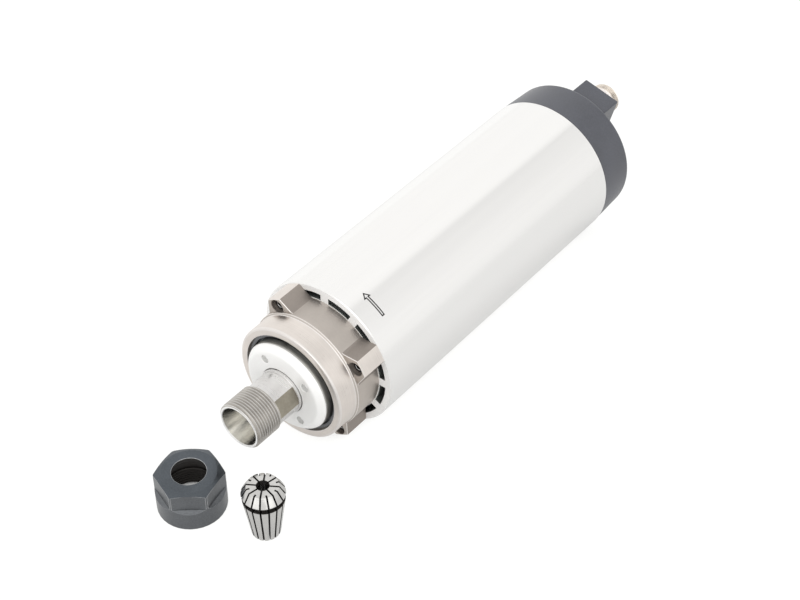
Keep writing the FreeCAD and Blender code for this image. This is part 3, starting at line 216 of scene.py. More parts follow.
# %% Shared node groups
RING_PATCHES = 120.0
STREAK_PATCHES = 70.0
GRAIN_PATCHES = 60.0


def turned_rings_group():
    """Lathe grooves: noise over the distance from the axis and the place on it."""
    group, inside, outside = new_group(
        "Turned Rings", "ShaderNodeTree",
        [("Vector", "NodeSocketVector", None), ("Scale", "NodeSocketFloat", 2500.0)],
        [("Pattern", "NodeSocketFloat"), ("Patches", "NodeSocketFloat")],
    )
    split = add(group, "ShaderNodeSeparateXYZ", {"Vector": inside.outputs["Vector"]})
    x, y, z = split.outputs
    radius = maths(group, "SQRT", maths(
        group, "ADD", maths(group, "MULTIPLY", x, x), maths(group, "MULTIPLY", y, y)
    ))
    flat_place = add(group, "ShaderNodeCombineXYZ", {"X": radius, "Y": z})
    noise = add(
        group, "ShaderNodeTexNoise",
        {"Vector": flat_place.outputs[0], "Scale": inside.outputs["Scale"], "Detail": 2.0},
        noise_dimensions="2D",
    )
    group.links.new(noise.outputs["Fac"], outside.inputs["Pattern"])
    soft = add(group, "ShaderNodeTexNoise", {
        "Vector": inside.outputs["Vector"], "Scale": RING_PATCHES, "Detail": 3.0,
    })
    group.links.new(soft.outputs["Fac"], outside.inputs["Patches"])
    return group


def fine_and_soft(group, place, fine_scale, soft_scale, outside):
    """The same noise at two scales: a fine pattern and soft patches."""
    for scale, target in ((fine_scale, "Pattern"), (soft_scale, "Patches")):
        noise = add(group, "ShaderNodeTexNoise", {
            "Vector": place, "Scale": scale, "Detail": 3.0,
        })
        group.links.new(noise.outputs["Fac"], outside.inputs[target])


def drawn_streaks_group():
    """Streaks along an extrusion: noise that is stretched along the axis."""
    group, inside, outside = new_group(
        "Drawn Streaks", "ShaderNodeTree",
        [
            ("Vector", "NodeSocketVector", None),
            ("Scale", "NodeSocketFloat", 600.0),
            ("Stretch", "NodeSocketFloat", 0.02),
        ],
        [("Pattern", "NodeSocketFloat"), ("Patches", "NodeSocketFloat")],
    )
    split = add(group, "ShaderNodeSeparateXYZ", {"Vector": inside.outputs["Vector"]})
    x, y, z = split.outputs
    along = maths(group, "MULTIPLY", z, inside.outputs["Stretch"])
    stretched = add(group, "ShaderNodeCombineXYZ", {"X": x, "Y": y, "Z": along})
    fine_and_soft(
        group, stretched.outputs[0], inside.outputs["Scale"], STREAK_PATCHES, outside
    )
    return group


def grain_group():
    """The skin of a casting or moulding: fine grain and larger soft patches."""
    group, inside, outside = new_group(
        "Grain", "ShaderNodeTree",
        [("Vector", "NodeSocketVector", None), ("Scale", "NodeSocketFloat", 2000.0)],
        [("Pattern", "NodeSocketFloat"), ("Patches", "NodeSocketFloat")],
    )
    given = inside.outputs
    fine_and_soft(group, given["Vector"], given["Scale"], GRAIN_PATCHES, outside)
    return group


TURNED_RINGS = turned_rings_group()
DRAWN_STREAKS = drawn_streaks_group()
GRAIN = grain_group()
print("groups", [group.name for group in (TURNED_RINGS, DRAWN_STREAKS, GRAIN)])

# %% [markdown]
# ## Materials
#
# A finish is a Principled shader whose constant values sit on its own sockets,
# and whose colour, roughness and bump vary with one of the shared effects. Each
# material could have its own graph, but they differ only in numbers. So one
# function makes them all: it takes the plain colour, the roughness, and how much
# each of the two is moved by the fine pattern and by the soft patches. Coordinates
# are the object's own, and a Mapping node turns them so that Z runs along the
# piece's axis.

# %% The finish maker
AXIS_OF_SPINDLE = (math.radians(90), 0.0, 0.0)
UPRIGHT = (0.0, 0.0, 0.0)
# Noise stays near 0.5, so this part of its range is stretched to 0..1.
FINE_RANGE = (0.25, 0.75)
BROAD_RANGE = (0.3, 0.7)


def coordinates(tree, centre, turn):
    """Object coordinates about a centre, turned so that Z is the piece's axis."""
    place = tree.nodes.new("ShaderNodeTexCoord").outputs["Object"]
    moved = add(tree, "ShaderNodeVectorMath", {0: place, 1: centre}, operation="SUBTRACT")
    turned = add(tree, "ShaderNodeMapping", {"Vector": moved.outputs[0], "Rotation": turn})
    return turned.outputs[0]


def shade(colour, share):
    """A colour made darker or lighter by a share, with its alpha."""
    return (*(min(1.0, part * share) for part in colour), 1.0)


def finish(
    name, colour, roughness, pattern, metallic=1.0, spread=0.08, patches=0.03,
    rough_spread=0.06, bump=0.02, centre=(0.0, 0.0, 0.0), turn=AXIS_OF_SPINDLE,
    **constants
):
    """A material whose colour, roughness and bump follow a shared pattern."""
    material = bpy.data.materials.new(name)
    tree = empty_tree(material)
    shader = tree.nodes.new("ShaderNodeBsdfPrincipled")
    output = tree.nodes.new("ShaderNodeOutputMaterial")
    tree.links.new(shader.outputs[0], output.inputs["Surface"])
    group, settings = pattern
    effect = tree.nodes.new("ShaderNodeGroup")
    effect.node_tree = group
    give(tree, effect.inputs["Vector"], coordinates(tree, centre, turn))
    for setting, given in settings.items():
        effect.inputs[setting].default_value = given
    fine = remap(tree, effect.outputs["Pattern"], *FINE_RANGE)
    broad = remap(tree, effect.outputs["Patches"], *BROAD_RANGE)
    dark, light = (
        blend(tree, "RGBA", broad, shade(colour, middle - patches),
              shade(colour, middle + patches))
        for middle in (1 - spread, 1 + spread)
    )
    tree.links.new(blend(tree, "RGBA", fine, dark, light), shader.inputs["Base Color"])
    varied = maths(tree, "MULTIPLY", maths(tree, "ADD", fine, broad), 0.5)
    rough = remap(tree, varied, 0.0, 1.0, roughness - rough_spread, roughness + rough_spread)
    tree.links.new(rough, shader.inputs["Roughness"])
    shader.inputs["Metallic"].default_value = metallic
    for socket, constant in constants.items():
        shader.inputs[socket.replace("_", " ")].default_value = constant
    if bump:
        relief = add(tree, "ShaderNodeBump", {
            "Height": effect.outputs["Pattern"], "Strength": bump, "Distance": MM,
        })
        tree.links.new(relief.outputs[0], shader.inputs["Normal"])
    return material


# %% The patterns as a finish takes them
def rings(scale):
    """Lathe grooves."""
    return TURNED_RINGS, {"Scale": scale}


def streaks(scale, stretch):
    """Streaks along the axis."""
    return DRAWN_STREAKS, {"Scale": scale, "Stretch": stretch}


def grain(scale):
    """Fine grain."""
    return GRAIN, {"Scale": scale}


print("a finish of turned rings takes", rings(900.0)[1])

# %% [markdown]
# ## The finishes
#
# The sleeve is satin silver. The nose is a machined casting with a warm, slightly
# golden grey. The disc is bright turned aluminium and the shaft is ground steel.
# The nut is blackened steel: dark, with worn bright edges. The cap is a dark grey
# moulding. A colour could be set on each object by hand, but pieces of the same
# stuff have to stay alike. So each finish is made once, under the slot name that
# the record uses, and every solid is given its own by that name.
#
# Some pieces carry further finishes: freshly cut ends, edges where the blackening
# has worn off, and a darker casting on the lugs' sides. Others are painted light:
# painted shade inside slots, bores, channels, thread valleys and counterbores, on
# the disc's rim, in its holes and on the nut's top, and a painted highlight on
# the shaft's front face. Those are made beside their piece. A face takes one by
# its number in the piece's list of materials, counted from 0.

# %% Finishes of the outside
def middle_of(node):
    """The middle of a solid's box, seen from above, at height zero."""
    low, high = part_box(node)
    return ((low[0] + high[0]) / 2, (low[1] + high[1]) / 2, 0.0)


NUT_MIDDLE = middle_of("collet_nut")
COLLET_MIDDLE = middle_of("collet")
MATERIALS = {
    "sleeve_aluminium": finish(
        "satin_sleeve", (0.93, 0.925, 0.915), 0.2, streaks(420.0, 0.01), spread=0.01,
        patches=0.012, rough_spread=0.03, bump=0.01,
    ),
    "nose_casting": finish(
        "satin_casting", (0.56, 0.515, 0.475), 0.5, grain(900.0), spread=0.03,
        patches=0.07, bump=0.04,
    ),
    "disc_aluminium": finish(
        "turned_aluminium", (0.95, 0.95, 0.94), 0.5, rings(3000.0), spread=0.015,
        patches=0.01, bump=0.02, metallic=0.45,
    ),
    "cover_steel": finish(
        "dark_ring_steel", (0.19, 0.195, 0.205), 0.42, grain(1500.0), spread=0.25,
    ),
    "black_steel": finish(
        "black_oxide_screws", (0.035, 0.033, 0.034), 0.34, grain(2500.0), spread=0.2,
        metallic=0.8,
    ),
    "shaft_steel": finish(
        "ground_steel", (0.72, 0.71, 0.70), 0.28, rings(900.0), spread=0.015,
        patches=0.06, bump=0.0,
    ),
    "cap_plastic": finish(
        "moulded_cap", (0.058, 0.062, 0.078), 0.36, grain(1600.0), metallic=0.0,
        spread=0.22, patches=0.12, bump=0.06, Specular_IOR_Level=0.8,
    ),
    "connector_metal": finish(
        "satin_nickel", (0.80, 0.73, 0.65), 0.34, rings(2500.0), spread=0.05,
    ),
    "nut_steel": finish(
        "black_oxide_nut", (0.15, 0.158, 0.168), 0.32, grain(1300.0), metallic=0.9,
        spread=0.14, patches=0.08, bump=0.04, centre=NUT_MIDDLE, turn=UPRIGHT,
    ),
    "collet_steel": finish(
        "hardened_steel", (0.63, 0.625, 0.61), 0.18, rings(2500.0), spread=0.05,
        patches=0.06, centre=COLLET_MIDDLE, turn=UPRIGHT,
    ),
}
print("outside:", ", ".join(MATERIALS))

# %% Finishes of the inside
MATERIALS.update({
    "bearing_steel": finish(
        "polished_steel", (0.62, 0.62, 0.63), 0.16, rings(2500.0), spread=0.03,
    ),
    "lamination_steel": finish(
        "stacked_laminations", (0.24, 0.24, 0.25), 0.5, rings(1800.0), spread=0.2,
    ),
    "winding_copper": finish(
        "varnished_copper", (0.60, 0.23, 0.09), 0.35, grain(900.0), spread=0.25, bump=0.2,
    ),
    "cage_polymer": finish(
        "bearing_cage", (0.30, 0.17, 0.08), 0.5, grain(1200.0), metallic=0.0,
    ),
    "fan_plastic": finish(
        "moulded_fan", (0.03, 0.03, 0.032), 0.5, grain(1600.0), metallic=0.0,
        spread=0.15,
    ),
    "contact_metal": finish(
        "gold_contacts", (0.83, 0.60, 0.22), 0.25, rings(3000.0), spread=0.04,
    ),
    "connector_plastic": finish(
        "black_insert", (0.02, 0.02, 0.02), 0.45, grain(1600.0), metallic=0.0,
    ),
})
print("finishes in all:", len(MATERIALS))

# %% Every solid gets its finish
SLOT_OF_NODE = {
    part["node"]: part["material_slot"] for part in frame["record"]["subparts"]
}
for node, slot in SLOT_OF_NODE.items():
    mesh = frame["nodes"][node].data
    mesh.materials.clear()
    mesh.materials.append(MATERIALS[slot])
print("finishes given to", len(SLOT_OF_NODE), "nodes")

# %% [markdown]
# ## Sizes
#
# Lengths are in millimetres and angles in degrees. The outer ones are read off the
# solids, and the others are measured from those. An angle about the spindle's axis
# counts from +X towards +Z. The spindle has rolled 14 degrees on the table, and its
# lugs, ribs and connector have rolled with it. The shaft turns by itself: its
# wrench flats face 22 and 202 degrees.

# %% Sizes read off the solids
X, Y, Z = 0, 1, 2


def reach(node, axis, side=1):
    """Where a solid ends along an axis, in millimetres: side 0 is its low end."""
    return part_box(node)[side][axis] / MM


SLEEVE_RADIUS = reach("outer_sleeve", X)
SLEEVE_LENGTH = reach("outer_sleeve", Y)
TABLE_DEPTH = -SLEEVE_RADIUS
NOSE_FACE = reach("front_housing", Y, 0)
DISC_FACE = reach("dust_disc", Y, 0)
DISC_BACK = reach("dust_disc", Y)
SHAFT_MOUTH = reach("shaft", Y, 0)
SHAFT_END = reach("shaft", Y)
NUT_TOP = reach("collet_nut", Z)
COLLET_TOP = reach("collet", Z)
ROLL = 14.0
LUG_ANGLE = 45.0 - ROLL
RIB_ANGLE = 15.0 - ROLL
FLAT_ANGLE = 22.0
QUARTER = 90.0
print("sleeve", round(SLEEVE_RADIUS, 3), "by", round(SLEEVE_LENGTH, 3), "mm")
print("nose face", round(NOSE_FACE, 2), "shaft mouth", round(SHAFT_MOUTH, 2))

# %% [markdown]
# ## Skins from rings of points
#
# Almost every piece here is turned, or turned with flats, lugs or notches. A Screw
# or a Spin would make the plain ones, but not a barrel that grows lugs. So one
# helper does most of the work: it lays rings of points one after the other and
# joins them with four-sided faces. A ring may be a plain circle or any outline
# with the same number of points. Where two rings meet, their points are merged,
# which also closes poles. Corners of a turned profile are rounded before the
# rings are made, because a real edge always has a small bright rounding.

# %% Helpers for places
def about_spindle(radius, angle, along, centre=(0.0, 0.0)):
    """A point at a radius and angle about an axis that runs along Y."""
    return Vector((
        centre[0] + radius * math.cos(angle), along, centre[1] + radius * math.sin(angle)
    )) * MM


def about_upright(middle):
    """A place maker for an upright axis on the table, through a given middle."""
    def place(radius, angle, height):
        return Vector((
            middle[0] + radius * math.cos(angle) * MM,
            middle[1] + radius * math.sin(angle) * MM,
            (TABLE_DEPTH + height) * MM,
        ))
    return place


def circle(count, turn=0.0):
    """Angles of count points on a circle, the first at a turn in degrees."""
    return [math.radians(turn) + 2 * math.pi * k / count for k in range(count)]


def round_ring(radius, along, angles):
    """A ring of (radius, angle, along) on a plain circle."""
    return [(radius, angle, along) for angle in angles]


print("four points on a circle:", [round(math.degrees(angle)) for angle in circle(4)])

# %% Helpers for skins
WELD = 1e-6


def add_skin(mesh, rows, place, wrap=True):
    """Lay rows of points, join each to the next and return the points.

    A row is (ring, finish), and its finish is one number or a list, one for each
    face between this row and the next. None leaves a face open.
    """
    grid = [[mesh.verts.new(place(*point)) for point in ring] for ring, _ in rows]
    columns = len(grid[0])
    for here, there, (_, finish_number) in zip(grid, grid[1:], rows):
        numbered = isinstance(finish_number, list)
        for k in range(columns if wrap else columns - 1):
            number = finish_number[k] if numbered else finish_number
            if number is None:
                continue
            following = (k + 1) % columns
            face = mesh.faces.new((here[k], here[following], there[following], there[k]))
            face.material_index = number
    return grid


def new_object(name, mesh):
    """An object at the origin that holds a finished mesh."""
    data = bpy.data.meshes.new(name)
    mesh.to_mesh(data)
    mesh.free()
    return in_scene(name, data)


def closed_object(name, mesh, *materials):
    """Merge a mesh's doubles, turn its faces outwards and make an object of it."""
    bmesh.ops.remove_doubles(mesh, verts=mesh.verts[:], dist=WELD)
    bmesh.ops.recalc_face_normals(mesh, faces=mesh.faces[:])
    made = new_object(name, mesh)
    for material in materials:
        made.data.materials.append(material)
    return made


print("points closer than", WELD / MM, "mm are merged")

# %% Helpers for turned profiles
def softened(corners, worn=None, steps=3):
    """A closed profile with rounded corners, as (radius, along, finish).

    A corner is (radius, along, size of its rounding) and may end with the finish
    of the side after it. The roundings take the finish worn, where one is given.
    """
    points = []
    for i, (radius, along, size, *rest) in enumerate(corners):
        side_finish = rest[0] if rest else 0
        here = Vector((radius, along))
        if not size:
            points.append((radius, along, side_finish))
            continue
        before = Vector(corners[i - 1][:2])
        after = Vector(corners[(i + 1) % len(corners)][:2])
        start = here + (before - here).normalized() * size
        end = here + (after - here).normalized() * size
        for k in range(steps + 1):
            share = k / steps
            at = start * (1 - share) ** 2 + here * 2 * share * (1 - share) + end * share ** 2
            bend = side_finish if worn is None or k == steps else worn
            points.append((at.x, at.y, bend))
    return points


def turned_rows(profile, angles):
    """The rows of a turned skin, closed on itself."""
    rows = [(round_ring(radius, along, angles), part) for radius, along, part in profile]
    return rows + rows[:1]


def turned(name, profile, place, materials, count, turn=0.0):
    """A turned piece from a closed profile."""
    mesh = bmesh.new()
    add_skin(mesh, turned_rows(profile, circle(count, turn)), place)
    return closed_object(name, mesh, *materials)


print("a rounded corner has", len(softened([(1, 0, 0.1), (0, 1, 0), (0, 0, 0)])) - 2, "points")

# %% [markdown]
# ## Geometry Nodes: a ring of copies
#
# Ribs, screws, drilled holes and saw cuts all repeat around an axis. A loop could
# write each copy into the mesh, but a node tree keeps the shape and its repetition
# apart. It takes a shape, copies it a number of times, turns each copy a step
# further about an axis, joins the copies, merges the points where they meet and
# sets the materials. A shape marks its faces with a number named "finish_number",
# and the second and third materials go to the faces with number 1 and 2.

# %% The ring of copies
def ring_of_copies_tree():
    """Copies of a shape, turned about an axis, joined and given their materials."""
    tree, inside, outside = new_group(
        "Ring of Copies", "GeometryNodeTree",
        [
            ("Geometry", "NodeSocketGeometry", None),
            ("Count", "NodeSocketInt", 4),
            ("Step", "NodeSocketFloat", math.pi / 2),
            ("Axis", "NodeSocketVector", (0.0, -1.0, 0.0)),
            ("Centre", "NodeSocketVector", (0.0, 0.0, 0.0)),
            ("Material", "NodeSocketMaterial", None),
            ("Second Material", "NodeSocketMaterial", None),
            ("Third Material", "NodeSocketMaterial", None),
        ],
        [("Geometry", "NodeSocketGeometry")],
    )
    given = inside.outputs
    whole = add(tree, "GeometryNodeGeometryToInstance")
    tree.links.new(given["Geometry"], whole.inputs[0])
    copies = add(tree, "GeometryNodeDuplicateElements", {
        "Geometry": whole.outputs[0], "Amount": given["Count"],
    }, domain="INSTANCE")
    angle = add(tree, "ShaderNodeMath", {
        0: copies.outputs["Duplicate Index"], 1: given["Step"],
    }, operation="MULTIPLY")
    rotation = add(tree, "FunctionNodeAxisAngleToRotation", {
        "Axis": given["Axis"], "Angle": angle.outputs[0],
    })
    turned_copies = add(tree, "GeometryNodeRotateInstances", {
        "Instances": copies.outputs["Geometry"], "Rotation": rotation.outputs[0],
        "Pivot Point": given["Centre"], "Local Space": False,
    })
    real = add(tree, "GeometryNodeRealizeInstances", {
        "Geometry": turned_copies.outputs[0],
    })
    merged = add(tree, "GeometryNodeMergeByDistance", {
        "Geometry": real.outputs[0], "Distance": WELD * 5,
    })
    dressed = add(tree, "GeometryNodeSetMaterial", {
        "Geometry": merged.outputs[0], "Material": given["Material"],
    })
    marked = add(tree, "GeometryNodeInputNamedAttribute", {
        "Name": "finish_number",
    }, data_type="INT")
    for number, name in ((1, "Second Material"), (2, "Third Material")):
        is_number = add(tree, "FunctionNodeCompare", {
            2: marked.outputs[0], 3: number,
        }, data_type="INT", operation="EQUAL")
        dressed = add(tree, "GeometryNodeSetMaterial", {
            "Geometry": dressed.outputs[0], "Selection": is_number.outputs[0],
            "Material": given[name],
        })
    tree.links.new(dressed.outputs[0], outside.inputs["Geometry"])
    return tree


RING_OF_COPIES = ring_of_copies_tree()


def flattened(piece):
    """A piece's mesh with its modifiers applied, as a plain mesh."""
    bpy.context.view_layer.update()
    seen = piece.evaluated_get(bpy.context.evaluated_depsgraph_get())
    data = bpy.data.meshes.new_from_object(seen)
    data.name = piece.name
    piece.modifiers.clear()
    old = piece.data
    piece.data = data
    bpy.data.meshes.remove(old)
    return piece


def copied_round(piece, count, axis=(0.0, -1.0, 0.0), centre=(0.0, 0.0, 0.0)):
    """Repeat a piece about an axis with the node tree, and make it a plain mesh."""
    materials = list(piece.data.materials)
    marks = [face.material_index for face in piece.data.polygons]
    attribute = piece.data.attributes.new("finish_number", "INT", "FACE")
    attribute.data.foreach_set("value", marks)
    modifier = piece.modifiers.new("ring_of_copies", "NODES")
    modifier.node_group = RING_OF_COPIES
    named = {
        item.name: item.identifier
        for item in RING_OF_COPIES.interface.items_tree if item.in_out == "INPUT"
    }
    modifier[named["Count"]] = count
    modifier[named["Step"]] = math.radians(360 / count)
    modifier[named["Axis"]] = axis
    modifier[named["Centre"]] = centre
    for k, name in enumerate(("Material", "Second Material", "Third Material")):
        modifier[named[name]] = materials[min(k, len(materials) - 1)]
    flattened(piece)
    piece.data.attributes.remove(piece.data.attributes["finish_number"])
    return piece


print("ring of copies:", len(RING_OF_COPIES.nodes), "nodes")

# %% [markdown]
# ## Cutting, and handing a piece over
#
# A drilled hole or a sawn slot is cut with the shape of its tool, as in a workshop.
# The exact solver is slower than the fast one, but it leaves clean edges, and the
# walls of the cut take the finish of the tool's faces. A finished piece is shaded
# smooth up to an angle, rides on the body of its node and stands for that node.

# %% Helpers for cutting and for handing a piece over
def cut_away(piece, cutter):
    """Cut one shape out of another, and remove the cutter."""
    modifier = piece.modifiers.new("cut", "BOOLEAN")
    modifier.object = cutter
    modifier.operation = "DIFFERENCE"
    modifier.solver = "EXACT"
    modifier.material_mode = "TRANSFER"
    flattened(piece)
    bpy.data.objects.remove(cutter)
    return piece


BODY_OF_NODE = {
    node: body
    for body, nodes in frame["record"]["behaviour"]["bodies"].items() for node in nodes
}


def hand_over(piece, node, sharp_angle=28.0):
    """Shade a piece, and let it stand for a node of the frame on the node's body."""
    piece.data.shade_smooth()
    piece.data.set_sharp_from_angle(angle=math.radians(sharp_angle))
    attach(piece, BODY_OF_NODE[node])
    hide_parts(node)
    low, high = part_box(node)
    points = [vertex.co for vertex in piece.data.vertices]
    proud = max(
        max(low[axis] - min(p[axis] for p in points),
            max(p[axis] for p in points) - high[axis])
        for axis in (X, Y, Z)
    )
    print(piece.name, len(piece.data.polygons), "faces,", round(proud / MM, 3),
          "mm beyond its solid's box")
    return piece


print("nodes on bodies:", len(BODY_OF_NODE))

# %% [markdown]
# ## The sleeve
#
# The sleeve is an aluminium extrusion: an outer skin and an inner tube that
# twelve ribs join, with air channels between them. Channels could be cut out of a
# thick tube one by one. But the section repeats, so one rib with its share of skin
# and tube, a sector of 30 degrees, is enough. It is drawn once, as an outline with
# fine teeth on the channel's walls, and drawn out along the axis with small
# chamfers at both ends. The ring of copies then makes the section of twelve.

# %% Finishes of the sleeve's ends, and painted shade in its channels
# Matt white for the sleeve's sawn ends; on the shaft's front face the same colour is a painted
# highlight.
CUT_FACE_AND_HIGHLIGHT = finish(
    "cut_face_and_painted_highlight", (0.94, 0.94, 0.935), 0.6, grain(1500.0), spread=0.02, bump=0.02,
    metallic=0.3,
)
# Painted shade: a dark grey on the walls and floors of the air channels.
CHANNEL_SHADE = finish(
    "channel_painted_shade", (0.34, 0.36, 0.345), 0.5, streaks(900.0, 0.02), spread=0.1,
)
print(CUT_FACE_AND_HIGHLIGHT.name, CHANNEL_SHADE.name)

# %% One sector of the sleeve
SKIN_BORE = 36.4
TUBE_RADIUS = 32.8
TUBE_BORE = 30.0
RIB_HALF = 2.5
RIB_COUNT = 12
SECTOR_HALF = math.pi / RIB_COUNT
EDGE_BREAK = 0.5
CHANNEL_EDGE = 0.12
TEETH = 7
TOOTH_HEIGHT = 0.3
ARC_STEPS = 12


def spread_out(first, last, steps):
    """Evenly spaced numbers from first to last, both included."""
    return [first + (last - first) * k / steps for k in range(steps + 1)]


def toothed_wall(radius, height, first, last):
    """A channel's wall from one angle to another, with fine teeth on it."""
    angles = spread_out(first, last, 2 * TEETH)
    return [(radius + height * (k % 2), angle) for k, angle in enumerate(angles)]


def sector_outline(outer_inset, inset):
    """A sector's outline as (radius, angle), and the finish of each side.

    The sides where one sector meets the next are left open.
    """
    skin = SLEEVE_RADIUS - outer_inset
    high = SKIN_BORE + inset
    low = TUBE_RADIUS - inset
    bore = TUBE_BORE + inset
    half = RIB_HALF - inset
    rib_high = math.asin(half / high)
    rib_low = math.asin(half / low)
    skin_arc = [(skin, angle) for angle in spread_out(-SECTOR_HALF, SECTOR_HALF, ARC_STEPS)]
    channel = toothed_wall(high, -TOOTH_HEIGHT, SECTOR_HALF, rib_high)
    floor = toothed_wall(low, TOOTH_HEIGHT, rib_low, SECTOR_HALF)
    tube = [(bore, angle) for angle in spread_out(SECTOR_HALF, -SECTOR_HALF, ARC_STEPS)]
    other_floor = [(radius, -angle) for radius, angle in reversed(floor)]
    other_channel = [(radius, -angle) for radius, angle in reversed(channel)]
    outline = []
    numbers = []
    # Finish 2 on the channels' walls and floors is painted shade.
    for part, along_it, to_the_next in (
        (skin_arc, 0, None), (channel, 2, 2), (floor, 2, None),
        (tube, 0, None), (other_floor, 2, 2), (other_channel, 2, None),
    ):
        outline += part
        numbers += [along_it] * (len(part) - 1) + [to_the_next]
    return outline, numbers


def sleeve_sector():
    """One rib of the sleeve with its share of the skin and the tube."""
    end = SLEEVE_LENGTH
    stations = [
        (0.0, EDGE_BREAK, CHANNEL_EDGE),
        (CHANNEL_EDGE, EDGE_BREAK - CHANNEL_EDGE, 0.0),
        (EDGE_BREAK, 0.0, 0.0),
        (end - EDGE_BREAK, 0.0, 0.0),
        (end - CHANNEL_EDGE, EDGE_BREAK - CHANNEL_EDGE, 0.0),
        (end, EDGE_BREAK, CHANNEL_EDGE),
    ]
    middle = math.radians(RIB_ANGLE)
    rows = []
    for along, outer_inset, inset in stations:
        outline, numbers = sector_outline(outer_inset, inset)
        rows.append(([(radius, middle + angle, along) for radius, angle in outline], numbers))
    mesh = bmesh.new()
    grid = add_skin(mesh, rows, about_spindle)
    for ring in (grid[0], grid[-1]):
        mesh.faces.new(ring).material_index = 1
    return new_object("sleeve_skin", mesh)


sleeve = sleeve_sector()
for material in (MATERIALS["sleeve_aluminium"], CUT_FACE_AND_HIGHLIGHT, CHANNEL_SHADE):
    sleeve.data.materials.append(material)
print("one sector has", len(sleeve.data.polygons), "faces")

# %% Twelve sectors make the sleeve
copied_round(sleeve, RIB_COUNT)
joined = bmesh.new()
joined.from_mesh(sleeve.data)
bmesh.ops.recalc_face_normals(joined, faces=joined.faces[:])
joined.to_mesh(sleeve.data)
joined.free()
hand_over(sleeve, "outer_sleeve")

# %% [markdown]
# ## The nose housing
#
# The nose is a casting that is turned where it matters. Four lugs stand on it,
# with sloping sides that run softly into the barrel. Lugs that are joined on with
# a boolean would need their fillets made by hand. So the housing is one row of
# rings: round ones along the barrel, then rings with the lugs' outline, fillets
# included. Each ring has the same number of points, so the flat front of the lugs
# lies between a round ring and a lugged one. The counterbores are cut afterwards,
# with a cutter that the ring of copies repeats.

# %% Finishes of the casting
WORN_CASTING = finish(
    "worn_casting", (0.84, 0.80, 0.77), 0.36, grain(1200.0), spread=0.03,
)
MACHINED_CASTING = finish(
    "machined_casting", (0.79, 0.735, 0.69), 0.32, rings(1800.0), spread=0.03,
    patches=0.05, bump=0.01,
)
# A darker copy of the casting: on the lugs' sloping sides it is only darker; in the counterbores
# it is painted shade.
DARKER_CASTING = finish(
    "darker_casting", (0.39, 0.35, 0.32), 0.62, grain(1100.0), spread=0.06, patches=0.08,
    bump=0.06,
)
print(WORN_CASTING.name, MACHINED_CASTING.name, DARKER_CASTING.name)

# %% The outline with four lugs
LUG_FRONT = -14.3
LUG_RADIUS = SLEEVE_RADIUS - 0.6
LUG_TOP_HALF = 4.3
LUG_SLOPE = 0.53
LUG_FOOT_ROUND = 3.0
LUG_EDGE = 0.3
BARREL_RADIUS = 32.5
SIDE_STEPS = 3
FILLET_STEPS = 5
GAP_STEPS = 7


def half_lug(inset):
    """Half of a lug and half the gap beside it, as (radius, angle) from its middle."""
    top = LUG_RADIUS - inset
    lean = math.hypot(1.0, LUG_SLOPE)

    def side(across):
        """Half the lug's width at a distance along its middle."""
        return LUG_TOP_HALF - inset * lean + LUG_SLOPE * (LUG_RADIUS - across)

    corner_out = math.sqrt(top ** 2 - side(top) ** 2)
    corner = (math.hypot(corner_out, side(corner_out)), math.atan2(side(corner_out), corner_out))
    # The fillet's centre is a fillet's radius away from the side and the barrel.
    far = BARREL_RADIUS + LUG_FOOT_ROUND
    offset = side(0.0) + LUG_FOOT_ROUND * lean
    a = 1 + LUG_SLOPE ** 2
    b = -2 * offset * LUG_SLOPE
    c = offset ** 2 - far ** 2
    out = (-b + math.sqrt(b * b - 4 * a * c)) / (2 * a)
    centre = Vector((out, offset - LUG_SLOPE * out))
    on_side = centre - Vector((LUG_SLOPE, 1.0)).normalized() * LUG_FOOT_ROUND
    on_barrel = centre * (BARREL_RADIUS / far)
    points = [(top, angle) for angle in spread_out(0.0, corner[1], SIDE_STEPS)]
    first = Vector((corner[0] * math.cos(corner[1]), corner[0] * math.sin(corner[1])))
    for k in range(1, SIDE_STEPS + 1):
        at = first.lerp(on_side, k / SIDE_STEPS)
        points.append((at.length, math.atan2(at.y, at.x)))
    start = math.atan2(on_side.y - centre.y, on_side.x - centre.x)
    end = math.atan2(on_barrel.y - centre.y, on_barrel.x - centre.x)
    if end > start:
        end -= 2 * math.pi
    for angle in spread_out(start, end, FILLET_STEPS)[1:]:
        at = centre + Vector((math.cos(angle), math.sin(angle))) * LUG_FOOT_ROUND
        points.append((at.length, math.atan2(at.y, at.x)))
    last = points[-1][1]
    gap = spread_out(last, math.radians(QUARTER) / 2, GAP_STEPS)[1:]
    points += [(BARREL_RADIUS, angle) for angle in gap]
    return points


def lugged_outline(inset):
    """The whole outline: four lugs and the barrel between them."""
    half = half_lug(inset)
    whole = [(radius, -angle) for radius, angle in reversed(half[1:-1])] + half
    return [
        (radius, angle + math.radians(LUG_ANGLE + QUARTER * k))
        for k in range(4) for radius, angle in whole
    ]


lugged = lugged_outline(0.0)
print("lugged outline", len(lugged), "points, out to", round(max(r for r, _ in lugged), 2))

# %% The nose housing
NOSE_RADIUS = 31.6
NOSE_STEP = -16.2
STEP_SLOPE = BARREL_RADIUS - NOSE_RADIUS
COVER_SEAT = 27.5
BEARING_SEAT = 23.52
FRONT_BEARING = -20.0
SECOND_BEARING_END = 10.0
SPIGOT_RADIUS = 29.98
SPIGOT_END = 14.0
SPIGOT_LIP = 21.0
COUNTERBORE_RADIUS = 3.7
COUNTERBORE_DEPTH = 6.2
SCREW_HOLE_RADIUS = 2.15
LUG_SCREW_CIRCLE = LUG_RADIUS - 4.3
NOSE_ROUND = 1.2
EDGE_ROUND = 0.3
STEP_ROUND = 0.25
CLEAR_OF_BARREL = 0.05


